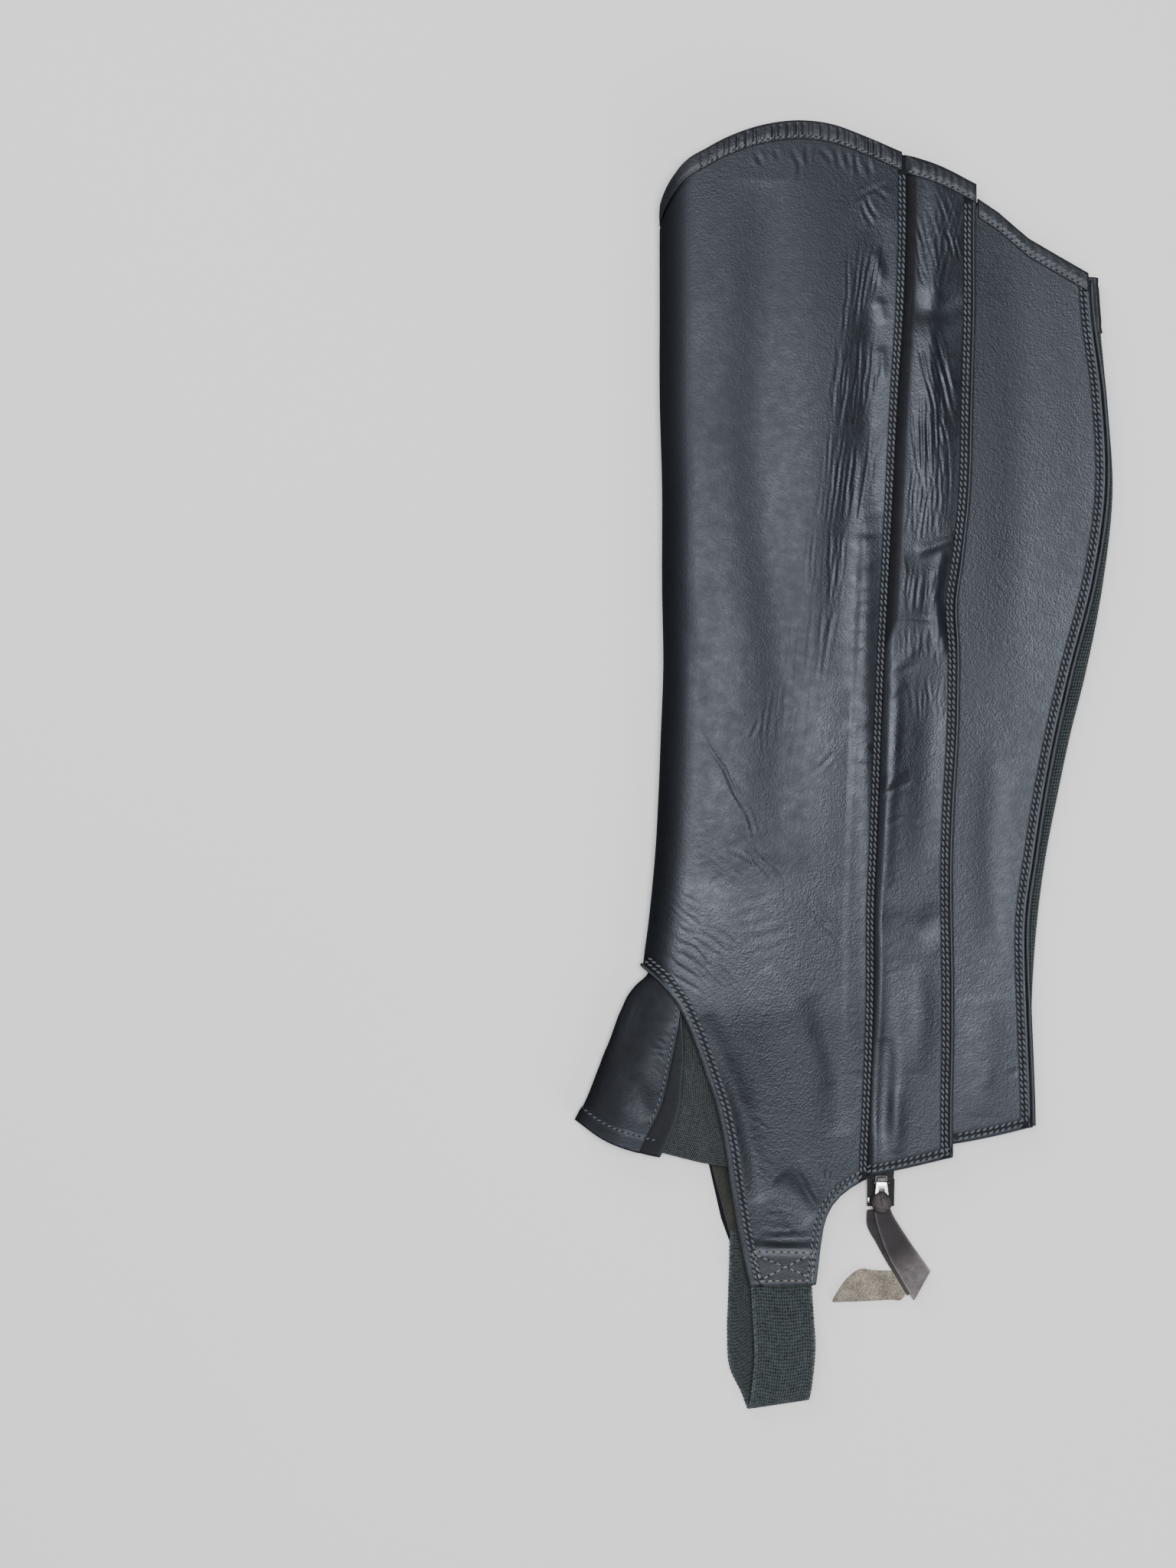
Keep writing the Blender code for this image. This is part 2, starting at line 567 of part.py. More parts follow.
def tongue_under(y):
    """Height of the tongue's underside: inside the leg leather near the arch, on the table further down."""
    return TONGUE_NEST * ease((y - TONGUE_LIFT[0]) / TONGUE_LIFT[1])


def tongue_drop(y):
    """How far the tongue's outer face lies below the main panel's."""
    return TONGUE_DROP + TONGUE_NEST_DROP * ease((y - TONGUE_SINK[0]) / TONGUE_SINK[1])


def tongue_point(w, y, out):
    """A point out mm off the tongue's outer face.

    w goes from 0 at its back edge on the outer side to 1 at its crown, 2 under its fold, and 3 at its back
    edge on the inner side.
    """
    w, y, out = np.broadcast_arrays(np.asarray(w, float), y, out)
    crown = leg("ridge", y)
    edge = rounded(TONGUE_EDGE, y)
    half_width = crown - rounded(TONGUE_FOLD, y)
    low = tongue_under(y)
    half_height = (level(crown, y) - tongue_drop(y) - low) / 2
    top_x = edge + (crown - edge) * w
    angle = math.pi * (0.5 + np.clip(w - 1, 0, 1))
    nx = np.cos(angle) / half_width
    nz = np.sin(angle) / half_height
    length = np.hypot(nx, nz)
    fold_x = crown + half_width * np.cos(angle) + out * nx / length
    fold_z = low + half_height * (1 + np.sin(angle)) + out * nz / length
    under_x = crown + (np.maximum(edge - TONGUE_SET_BACK, crown + 2.0) - crown) * (w - 2)
    x = np.where(w <= 1, top_x, np.where(w <= 2, fold_x, under_x))
    z = np.where(w <= 1, level(top_x, y) - tongue_drop(y) + out, np.where(w <= 2, fold_z, low - out))
    return np.stack([x, y, z], axis=-1)


def edge_across(table, y):
    """How far across an edge lies at height y, for an edge that only comes down."""
    points = np.array(table, float)
    return np.interp(-np.asarray(y, float), -points[:, 1], points[:, 0])


def build_foot(leather_look, facing_look, elastic_look):
    w = np.concatenate([np.linspace(0, 0.8, 4), np.linspace(1, 2, 10), [2.5, 3.0]])

    def x_at(y):
        return tongue_point(w, y, 0.0)[..., 0]

    def arch(x):
        return np.where(w < 1.5, straight(ARCH, x), straight(INNER_ARCH, x))

    low = end_of_column(lambda x: rounded(TONGUE_HEM, x), x_at, LOW_START)
    high = end_of_column(arch, x_at, ARCH_APEX) + UNDER_ARCH
    rows = np.concatenate([np.linspace(low, low + HEM_BAND - 1.0, 3), np.linspace(low + HEM_BAND, high, 9)])
    above_table = ease(2 - w)
    band = HEM_RAISE * above_table * (np.arange(len(rows)) < 3)[:, None]
    wall("instep_panel", tongue_point(w, rows, band), tongue_point(w, rows, -LEATHER), leather_look)

    under_tongue = LEATHER + SEAM_GAP
    shares = np.linspace(0, 1, 6)

    def facing_x(y):
        left = rounded(TONGUE_EDGE, y) - UNDERLAP + 1.0
        return left + (rounded(FACING_EDGE, y) - left) * shares

    x, y = plan_grid(facing_x, lambda x: rounded(TONGUE_HEM, x), lambda x: 0.0 * x + FACING_TOP, 9)
    z = level(x, y) - tongue_drop(y) - under_tongue
    flat_wall("instep_facing", x, y, z, THIN_LEATHER, facing_look)

    under_facing = under_tongue + THIN_LEATHER + SEAM_GAP

    def gusset_x(y):
        left = rounded(FACING_EDGE, y) - UNDERLAP
        return left + (edge_across(ARCH, y) + UNDERLAP - left) * shares

    x, y = plan_grid(gusset_x, lambda x: rounded(GUSSET_HEM, x), lambda x: 0.0 * x + GUSSET_TOP, 9)
    z = level(x, y) - tongue_drop(y) - under_facing
    flat_wall("gusset_outer", x, y, z, GUSSET, elastic_look)

    def inner_gusset_x(y):
        left = np.maximum(rounded(TONGUE_EDGE, y) - TONGUE_SET_BACK, leg("ridge", y) + 2.0) - UNDERLAP
        return left + (edge_across(INNER_ARCH, y) + UNDERLAP - left) * shares

    def inner_hem(x):
        return rounded(GUSSET_HEM, x) + INNER_GUSSET_SHORTER

    x, y = plan_grid(inner_gusset_x, inner_hem, lambda x: 0.0 * x + GUSSET_TOP, 7)
    over_tongue = tongue_under(y + 2 * UNDERLAP) + LEATHER + 2 * SEAM_GAP
    flat_wall("gusset_inner", x, y, over_tongue + GUSSET, GUSSET, elastic_look)


def build_strap(look):
    sections = []
    route = np.array(STRAP_ROUTE)
    for k, (up, z, middle, slant) in enumerate(route):
        before = route[max(k - 1, 0)]
        after = route[min(k + 1, len(route) - 1)]
        along = math.atan2(after[1] - before[1], after[0] - before[0])
        off = (-math.sin(along) * STRAP / 2, math.cos(along) * STRAP / 2)
        section = []
        for side, face in ((-1, -1), (0, -1), (1, -1), (1, 1), (0, 1), (-1, 1)):
            x = middle + side * STRAP_WIDTH / 2
            section.append((x, up + slant * (x - middle) + face * off[0], z + face * off[1]))
        sections.append(section)
    swept("stirrup_strap", sections, look)


def zip_height(x, y):
    """Height of the zip tape's outer face: its free end sags below the hems."""
    return level(x, y) - ZIP_DROP - ZIP_SAG * ease((ZIP_SAGS[0] - np.asarray(y, float)) / ZIP_SAGS[1])


def build_zip(tape_look, metal_look, pull_look, lace_look, suede_look):
    shares = np.array([-1.0, -0.5, 0.0, 0.5, 1.0])
    heights = np.concatenate([np.linspace(ZIP_END, -166.0, 6), np.linspace(-150.0, ZIP_TOP, 16)])
    y = heights[:, None] + 0 * shares
    narrow = ease((ZIP_NARROWS[0] - y) / ZIP_NARROWS[1])
    half = ZIP_WIDTH / 2 + (ZIP_TAPE_END_HALF - ZIP_WIDTH / 2) * narrow
    middle = np.where(y < ZIP_FREE_END, ZIP_X, leg("seam", y) + ZIP_FROM_SEAM)
    x = middle + shares * half
    flat_wall("zip_tape", x, y, zip_height(x, y), TAPE, tape_look)

    sections = []
    for up, half_width, height in SLIDER_FORM:
        low = zip_height(ZIP_X, up) + SEAM_GAP
        corner = 0.3 * height
        sections.append([(ZIP_X + sx * dx, up, low + dz) for sx, dx, dz in (
            (-1, half_width, 0), (-1, half_width, height - corner), (-1, half_width - corner, height),
            (1, half_width - corner, height), (1, half_width, height - corner), (1, half_width, 0))])
    swept("zip_slider", sections, metal_look)

    width, length, thickness = PULL_SIZE
    axis_y = PULL_AXIS_Y
    axis_z = float(zip_height(ZIP_X, axis_y)) + SLIDER_HEIGHT + 2 * SEAM_GAP + thickness / 2
    pivot = bpy.data.objects.new("pull_axis", None)
    pivot.location = Vector((ZIP_X, axis_y, axis_z)) * MM
    bpy.context.scene.collection.objects.link(pivot)

    built = bmesh.new()
    half = width / 2
    low = axis_y - length
    high = axis_y + thickness / 2
    cut = PULL_CORNER
    rim = [(-half + cut, low), (half - cut, low), (half, low + cut), (half - 0.4, axis_y),
           (half - 0.8, high), (-half + 0.8, high), (-half + 0.4, axis_y), (-half, low + cut)]
    across = PULL_HOLE[0] / 2
    along = PULL_HOLE[1] / 2
    centre = low + length * 0.42
    inside = [(-across, centre - along), (across, centre - along), (across, centre),
              (across, centre + along - 0.5), (across - 0.5, centre + along),
              (-across + 0.5, centre + along), (-across, centre + along - 0.5), (-across, centre)]
    layers = []
    for z in (axis_z - thickness / 2, axis_z + thickness / 2):
        layers.append([[built.verts.new(Vector((ZIP_X + px, py, z)) * MM) for px, py in ring]
                       for ring in (rim, inside)])
    count = len(rim)
    for k in range(count):
        after = (k + 1) % count
        for outline, within in layers:
            built.faces.new((outline[k], outline[after], within[after], within[k]))
        for ring in (0, 1):
            built.faces.new((layers[0][ring][k], layers[0][ring][after],
                             layers[1][ring][after], layers[1][ring][k]))
    new_object("zip_pull", built, pull_look, pivot)

    built = bmesh.new()
    bmesh.ops.create_uvsphere(built, u_segments=12, v_segments=8, radius=1.0)
    knot_z = float(zip_height(ZIP_X, KNOT_SEAT_Y)) + SEAM_GAP + KNOT_RADII[2] + KNOT_RAISE
    bmesh.ops.scale(built, vec=Vector(KNOT_RADII) * MM, verts=built.verts)
    bmesh.ops.translate(built, vec=Vector((*KNOT_PLACE, knot_z)) * MM, verts=built.verts)
    new_object("lace_knot", built, lace_look, pivot)

    for name, route in (("lace_front", LACE_FRONT), ("lace_back", LACE_BACK)):
        swept(name, ribbon(route), lace_look, pivot)
    low = SEAM_GAP
    tail = [[(x, near, low), (x, far, low), (x, far, low + LACE), (x, near, low + LACE)]
            for x, near, far in LACE_TAIL]
    swept("lace_tail", tail, suede_look, pivot)


def ribbon(route):
    """Cross-sections of a strip of lace along a route of (x, y, z, half width)."""
    points = np.array(route)
    sections = []
    for k, (x, y, z, half) in enumerate(points):
        before = points[max(k - 1, 0)]
        after = points[min(k + 1, len(points) - 1)]
        run = np.hypot(after[0] - before[0], after[1] - before[1])
        side = np.array([-(after[1] - before[1]), after[0] - before[0]]) / run
        sections.append([(x + s * half * side[0], y + s * half * side[1], z + h * LACE / 2)
                         for s, h in ((-1, -1), (1, -1), (1, 1), (-1, 1))])
    return sections


def centre_on_base():
    """Moves the whole part so that the middle of its box is over the origin, and prints the pull's axis."""
    bpy.context.view_layer.update()
    corners = [made.matrix_world @ vertex.co for made in bpy.data.objects if made.type == "MESH"
               for vertex in made.data.vertices]
    points = np.array([tuple(corner) for corner in corners])
    low = points.min(axis=0)
    high = points.max(axis=0)
    shift = Vector((-(low[0] + high[0]) / 2, -(low[1] + high[1]) / 2, -low[2]))
    for made in bpy.data.objects:
        if made.parent is None:
            made.location = made.location + shift
    bpy.context.view_layer.update()
    size = (high - low) / MM
    print("size in mm:", [round(float(v), 2) for v in size], "moved by:", [round(v / MM, 3) for v in shift])
    print("pull axis in m:", [round(v, 6) for v in bpy.data.objects["pull_axis"].matrix_world.translation])


def main():
    for thing in list(bpy.data.objects):
        bpy.data.objects.remove(thing)
    leather = material("black_leather", (0.028, 0.031, 0.036), 0.42)
    edging = material("binding_leather", (0.022, 0.023, 0.026), 0.5)
    elastic = material("ribbed_elastic", (0.012, 0.022, 0.022), 0.85)
    tape = material("zip_tape", (0.010, 0.010, 0.012), 0.8)
    dark_metal = material("dark_metal", (0.05, 0.05, 0.055), 0.4, 1.0)
    bright_metal = material("bright_metal", (0.62, 0.61, 0.58), 0.3, 1.0)
    lace = material("lace_leather", (0.05, 0.042, 0.042), 0.6)
    suede = material("suede", (0.27, 0.24, 0.2), 0.95)
    build_leg_leather(leather, edging)
    build_flap(leather, edging)
    build_side(leather, edging)
    build_calf(elastic, leather)
    build_foot(leather, edging, elastic)
    build_strap(elastic)
    build_zip(tape, dark_metal, bright_metal, lace, suede)
    centre_on_base()


main()
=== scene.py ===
# %% [markdown]
# # A leather half chap, laid flat
# A half chap is the leather gaiter that a rider zips round the lower leg. It is a tube, and this one is shown
# pressed flat on a table: the outer side looks up, the shin is the round fold on the left, and the elastic
# behind the calf is the fold on the right.
#
# The solids of the part are loaded first as a fixed frame. They say where every panel lies, so this script
# only has to dress them: it repeats the same lines and levels on finer grids and adds what leather does.

import math

import bpy
import numpy as np
from mathutils import Matrix, Vector


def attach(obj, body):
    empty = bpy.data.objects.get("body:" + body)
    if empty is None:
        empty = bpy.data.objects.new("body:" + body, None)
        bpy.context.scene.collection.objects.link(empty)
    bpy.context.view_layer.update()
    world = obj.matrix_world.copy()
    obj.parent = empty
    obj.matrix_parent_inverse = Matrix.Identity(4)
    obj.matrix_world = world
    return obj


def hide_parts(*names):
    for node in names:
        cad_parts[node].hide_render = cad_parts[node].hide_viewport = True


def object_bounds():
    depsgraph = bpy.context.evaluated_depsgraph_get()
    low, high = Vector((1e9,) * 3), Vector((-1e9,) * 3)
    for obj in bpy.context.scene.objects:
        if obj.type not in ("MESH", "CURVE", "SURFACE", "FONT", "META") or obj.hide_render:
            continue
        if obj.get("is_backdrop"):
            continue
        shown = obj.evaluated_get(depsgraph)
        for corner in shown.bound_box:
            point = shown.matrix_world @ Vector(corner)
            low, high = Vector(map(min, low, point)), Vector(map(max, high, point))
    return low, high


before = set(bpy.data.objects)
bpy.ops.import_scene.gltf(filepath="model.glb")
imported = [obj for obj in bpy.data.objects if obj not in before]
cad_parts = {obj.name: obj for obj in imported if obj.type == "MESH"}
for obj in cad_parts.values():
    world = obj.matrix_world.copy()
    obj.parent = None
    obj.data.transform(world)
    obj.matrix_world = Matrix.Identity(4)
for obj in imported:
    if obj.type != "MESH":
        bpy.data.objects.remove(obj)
cad_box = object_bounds()
CHAP = "chap"
PULL = "pull"

# %% [markdown]
# ## Camera, floor and light
# The photograph looks straight down on the chap. The tables below count in millimetres from the middle of
# the chap in the photograph, and FRAME_SHIFT moves them to the frame of the solids.
#
# Dark leather shows its form through its gloss, so the main light is a broad soft box, high up and to the
# left: what lies flat shines a little, what leans to the left shines most, and what leans away goes black.

# %% Set the camera, the floor and the lights
MM = 0.001
PIXEL = 0.325
FRAME_SHIFT = np.array([0.156, -0.683, 0.0])
IMAGE_MIDDLE = (768.0, 1024.0)
IMAGE_HEIGHT = 2048.0
CHAP_IN_PHOTO = (1104.5, 1005.0)
CAMERA_HEIGHT = 1.5
FACE_HEIGHT = 0.01
SENSOR = 36.0


def from_photo(px, py):
    """A place in the photograph, in millimetres on the chap."""
    return np.array([(px - CHAP_IN_PHOTO[0]) * PIXEL, (CHAP_IN_PHOTO[1] - py) * PIXEL])


aim = (from_photo(*IMAGE_MIDDLE) + FRAME_SHIFT[:2]) * MM
camera_data = bpy.data.cameras.new("camera")
camera_data.sensor_width = SENSOR
camera_data.lens = SENSOR * (CAMERA_HEIGHT - FACE_HEIGHT) / (IMAGE_HEIGHT * PIXEL * MM)
camera = bpy.data.objects.new("camera", camera_data)
camera.location = (aim[0], aim[1], CAMERA_HEIGHT)
bpy.context.scene.collection.objects.link(camera)
bpy.context.scene.camera = camera


def soft_box(name, place, size, power):
    """A square soft light at a place, turned to the middle of the chap."""
    data = bpy.data.lights.new(name, "AREA")
    data.shape = "SQUARE"
    data.size = size
    data.energy = power
    made = bpy.data.objects.new(name, data)
    made.location = place
    made.rotation_euler = (-Vector(place)).to_track_quat("-Z", "Y").to_euler()
    bpy.context.scene.collection.objects.link(made)


soft_box("main_light", (0.13, 0.03, 2.3), 0.65, 43.0)
soft_box("fill_light", (-0.45, 0.2, 2.2), 1.2, 24.0)
soft_box("far_light", (-0.9, 1.3, 0.9), 1.0, 12.0)
soft_box("near_light", (1.0, -1.2, 0.9), 1.0, 12.0)
world = bpy.data.worlds.new("room")
world.use_nodes = True
room = world.node_tree.nodes["Background"].inputs
room["Color"].default_value = (0.9, 0.95, 1.0, 1.0)
room["Strength"].default_value = 0.14
bpy.context.scene.world = world


def deselect_all():
    if bpy.context.object is not None and bpy.context.object.mode != "OBJECT":
        bpy.ops.object.mode_set(mode="OBJECT")
    bpy.ops.object.select_all(action="DESELECT")


deselect_all()
bpy.ops.mesh.primitive_plane_add(size=6.0, location=(0.0, 0.0, -0.0002))
floor = bpy.context.object
floor.name = "floor"
floor.visible_glossy = False
floor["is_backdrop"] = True
print("camera lens in mm:", round(camera_data.lens, 1), "aimed at:", aim.round(4))

# %% [markdown]
# ## Finishes
# Every finish is a small network of nodes. So that they read like sums, `Value` wraps one output socket and
# lets Python's own operators add the Math nodes. `Finish.add` makes any other node: its settings first, then
# the values or links of its sockets.

# %% Write shader maths as Python


class Value:
    """One output socket, with arithmetic."""

    def __init__(self, finish, socket):
        self.finish = finish
        self.socket = socket

    def math(self, operation, *others):
        inputs = {0: self}
        for i, other in enumerate(others):
            inputs[i + 1] = other
        return self.finish.add("ShaderNodeMath", {"operation": operation}, inputs)

    def flipped(self, operation, other):
        return self.finish.add("ShaderNodeMath", {"operation": operation}, {0: other, 1: self})

    def __add__(self, other):
        return self.math("ADD", other)

    def __radd__(self, other):
        return self.math("ADD", other)

    def __sub__(self, other):
        return self.math("SUBTRACT", other)

    def __rsub__(self, other):
        return self.flipped("SUBTRACT", other)

    def __mul__(self, other):
        return self.math("MULTIPLY", other)

    def __rmul__(self, other):
        return self.math("MULTIPLY", other)

    def clamped(self):
        return self.finish.add("ShaderNodeClamp", {}, {"Value": self})


class Finish:
    """A material under construction. Its shader is a Principled BSDF."""

    def __init__(self, name, roughness=0.5, metallic=0.0, **fixed):
        self.material = bpy.data.materials.new(name)
        self.material.use_nodes = True
        self.tree = self.material.node_tree
        self.shader = self.tree.nodes["Principled BSDF"]
        self.shader.inputs["Roughness"].default_value = roughness
        self.shader.inputs["Metallic"].default_value = metallic
        for socket, value in fixed.items():
            self.shader.inputs[socket.replace("_", " ")].default_value = value
        self.coordinates = self.tree.nodes.new("ShaderNodeTexCoord")

    def put(self, socket, value):
        if isinstance(value, Value):
            self.tree.links.new(value.socket, socket)
        else:
            socket.default_value = value

    def add(self, kind, settings, inputs, output=0):
        node = self.tree.nodes.new(kind)
        for setting, value in settings.items():
            setattr(node, setting, value)
        for socket, value in inputs.items():
            self.put(node.inputs[socket], value)
        return Value(self, node.outputs[output])

    def place(self, scale=(1.0, 1.0, 1.0), turn=(0.0, 0.0, 0.0), source="Object"):
        """Object or UV coordinates in metres, turned and scaled."""
        start = Value(self, self.coordinates.outputs[source])
        return self.add("ShaderNodeMapping", {}, {"Vector": start, "Rotation": turn, "Scale": scale})

    def noise(self, at, scale, detail=3.0, roughness=0.5, distortion=0.0):
        return self.add("ShaderNodeTexNoise", {}, {
            "Vector": at, "Scale": scale, "Detail": detail, "Roughness": roughness,
            "Distortion": distortion})

    def cells(self, at, scale):
        return self.add("ShaderNodeTexVoronoi", {}, {"Vector": at, "Scale": scale})

    def attribute(self, name):
        return self.add("ShaderNodeAttribute", {"attribute_name": name}, {}, output="Fac")

    def mix(self, factor, first, second):
        """A blend of two colours, each given as (red, green, blue) or as a link."""
        node = self.tree.nodes.new("ShaderNodeMix")
        node.data_type = "RGBA"
        self.put(node.inputs["Factor"], factor)
        colour_inputs = [socket for socket in node.inputs if socket.type == "RGBA"]
        for socket, colour in zip(colour_inputs, (first, second)):
            self.put(socket, colour if isinstance(colour, Value) else (*colour, 1.0))
        colour_output = [socket for socket in node.outputs if socket.type == "RGBA"][0]
        return Value(self, colour_output)

    def finish(self, colour, roughness=None, relief=None, coat=None):
        """Links what varies: colour, roughness, coat weight, and relief, a height in metres."""
        self.put(self.shader.inputs["Base Color"], colour if isinstance(colour, Value) else (*colour, 1.0))
        if roughness is not None:
            self.put(self.shader.inputs["Roughness"], roughness)
        if coat is not None:
            self.put(self.shader.inputs["Coat Weight"], coat)
        if relief is not None:
            bump = self.add("ShaderNodeBump", {}, {"Distance": 1.0, "Strength": 1.0, "Height": relief})
            self.put(self.shader.inputs["Normal"], bump)
        return self.material


print("shader helpers ready")

# %% [markdown]
# ### Leather
# Smooth cowhide has a fine grain of cells under a millimetre wide, with soft rolls between them, and years of
# use have rubbed it unevenly: glossier where it was polished by the horse and the hand, duller where it is
# dry. The grain and the rolls are a height in metres, so they stay at their real size. A `wear_and_shade`
# attribute on each panel, painted from its distance to the edges, greys the hems where it is above zero;
# below zero it is painted shade, which blackens and dulls the leather in grooves, on steep folds and in
# recesses.

# %% Make the leathers


def leather(name, dark, light, gloss, grain, dust=(0.052, 0.056, 0.062), rolls=0.00005, coat=0.04):
    made = Finish(name, Coat_Roughness=0.32, Specular_IOR_Level=0.24, Specular_Tint=(0.8, 0.86, 1.0, 1.0))
    at = made.place()
    stretched = made.place(scale=(1.0, 0.75, 1.0), turn=(0.0, 0.0, 0.35))
    patches = made.noise(at, 18.0, 4.0, 0.6)
    mottle = made.noise(at, 210.0, 3.0, 0.6)
    pebble = made.cells(at, 1150.0)
    pores = made.cells(at, 520.0)
    soft = made.noise(stretched, 150.0, 4.0, 0.62, 0.4)
    fine = made.noise(stretched, 760.0, 4.0, 0.65, 0.5)
    wear_and_shade = made.attribute("wear_and_shade")
    shade = (patches * 0.75 + mottle * 0.25 - 0.28).clamped() * 1.5
    colour = made.mix(shade.clamped(), dark, light)
    rubbed = (wear_and_shade * (mottle * 1.5 + fine * 0.9 - 0.4)).clamped()
    # painted shade: where the attribute is below zero the colour goes towards black and the leather duller,
    # standing in for shade in grooves, on steep folds and in recesses
    painted_shade = (wear_and_shade * -1.0).clamped()
    colour = made.mix(painted_shade, made.mix(rubbed, colour, dust), (0.002, 0.002, 0.0025))
    roughness = (patches - 0.5) * 0.26 + (mottle - 0.5) * 0.24 + rubbed * 0.2 + painted_shade * 0.4 + gloss
    relief = soft * rolls + fine * 0.00005 + pebble * grain - pores * (grain * 0.5)
    return made.finish(colour, roughness.clamped(), relief, patches * coat)


black_leather = leather("black_leather", (0.006, 0.0075, 0.010), (0.02, 0.023, 0.029), 0.34, 0.00004)
binding_leather = leather("binding_leather", (0.008, 0.0085, 0.01), (0.024, 0.025, 0.029), 0.4, 0.00006,
                          rolls=0.0003, coat=0.05)
lace_leather = leather("lace_leather", (0.01, 0.008, 0.008), (0.036, 0.029, 0.029), 0.6, 0.00012,
                       dust=(0.17, 0.155, 0.155), rolls=0.0003, coat=0.0)
print("leathers:", black_leather.name, binding_leather.name, lace_leather.name)

# %% [markdown]
# ### Suede, lining, elastic, tape, thread and metal
# The flesh side of the lace is napped suede. Inside the leg the hide is bare too, dark and mottled with
# olive.
# The elastic's ribs are real geometry further down, so its finish only adds the threads between them. Thread
# is a twisted cord with a soft shine.

# %% Make the other finishes


def napped(name, dark, light, nap):
    made = Finish(name, Sheen_Weight=0.25, Sheen_Roughness=0.6)
    at = made.place()
    cloud = made.noise(at, 130.0, 4.0, 0.65)
    fibre = made.noise(at, 1500.0, 4.0, 0.7)
    colour = made.mix((cloud * 1.6 - 0.5 + (fibre - 0.5) * 2.4).clamped(), dark, light)
    return made.finish(colour, fibre * 0.1 + 0.84, fibre * nap + cloud * (nap * 1.2))


def knitted(name, dark, light, across, along):
    """Elastic webbing. The UV map is in metres: across the ribs is V, and the rubber threads run along V."""
    made = Finish(name, Sheen_Weight=0.08, Sheen_Roughness=0.5, Specular_IOR_Level=0.25)
    thread_at = made.place(scale=(1.0 / across, 1.0 / along, 1.0), source="UV")
    threads = made.add("ShaderNodeTexWave", {"bands_direction": "X"}, {
        "Vector": thread_at, "Scale": math.pi / 10, "Distortion": 0.6, "Detail": 2.0, "Detail Scale": 2.0})
    loops = made.add("ShaderNodeTexWave", {"bands_direction": "Y"}, {
        "Vector": thread_at, "Scale": math.pi / 10, "Distortion": 0.8, "Detail": 2.0, "Detail Scale": 2.0})
    at = made.place()
    fuzz = made.noise(at, 900.0, 3.0, 0.7)
    stain = made.noise(at, 40.0, 3.0, 0.6)
    shade = (threads * 0.9 + loops * 0.7 + fuzz * 2.0 + stain * 0.6 - 1.6).clamped()
    worn = (made.attribute("wear_and_shade") * (fuzz * 2.2 - 0.8)).clamped()
    colour = made.mix(worn, made.mix(shade, dark, light), (0.16, 0.19, 0.18))
    return made.finish(colour, fuzz * 0.15 + 0.72, threads * 0.0003 + loops * 0.0002 + fuzz * 0.00016)


def plain_metal(name, dark, light, roughness):
    made = Finish(name, metallic=1.0)
    at = made.place()
    rub = made.noise(at, 700.0, 4.0, 0.65)
    cloud = made.noise(at, 160.0, 3.0, 0.6)
    colour = made.mix((rub * 0.8 + cloud * 0.8 - 0.3).clamped(), dark, light)
    return made.finish(colour, rub * 0.25 + roughness, rub * 0.00003)


def twisted_thread(name, dark, light):
    made = Finish(name, Sheen_Weight=0.1)
    at = made.place()
    twist = made.noise(at, 2600.0, 2.0, 0.5)
    age = made.noise(at, 90.0, 3.0, 0.6)
    colour = made.mix((twist * 0.7 + age * 0.9 - 0.35).clamped(), dark, light)
    return made.finish(colour, twist * 0.2 + 0.45, twist * 0.00006)


suede = napped("suede", (0.1, 0.085, 0.066), (0.42, 0.365, 0.29), 0.00022)
lining = napped("lining", (0.006, 0.0065, 0.006), (0.032, 0.034, 0.024), 0.00008)
ribbed_elastic = knitted("ribbed_elastic", (0.003, 0.005, 0.006), (0.044, 0.058, 0.064), 0.0011, 0.0016)
gusset_elastic = knitted("gusset_elastic", (0.005, 0.0065, 0.0075), (0.06, 0.07, 0.076), 0.0008, 0.0011)
zip_tape = knitted("zip_tape", (0.006, 0.006, 0.007), (0.022, 0.022, 0.024), 0.0005, 0.0007)
dark_metal = plain_metal("dark_metal", (0.02, 0.02, 0.022), (0.09, 0.09, 0.095), 0.3)
bright_metal = plain_metal("bright_metal", (0.42, 0.41, 0.38), (0.78, 0.77, 0.73), 0.2)
dark_thread = twisted_thread("dark_thread", (0.02, 0.024, 0.031), (0.12, 0.14, 0.17))
pale_thread = twisted_thread("pale_thread", (0.04, 0.04, 0.04), (0.27, 0.265, 0.25))


def pale_floor():
    made = Finish("pale_floor", roughness=0.9)
    cloud = made.noise(made.place(), 3.0, 2.0)
    return made.finish(made.mix(cloud, (0.8, 0.8, 0.8), (0.84, 0.84, 0.84)))


floor.data.materials.append(pale_floor())
print("finishes:", len(bpy.data.materials))

# %% [markdown]
# ## The chap's lines
# A pattern cutter marks a hide with a few lines: the seams, the hems and the folds. The same lines are kept
# here as short tables in millimetres, and a smooth curve runs through each. Every panel, stitch and crease
# below is placed from them.

# %% Write down the leg's lines and the thickness of each layer
LEATHER = 1.8
THIN_LEATHER = 1.2
SEAM_GAP = 0.3

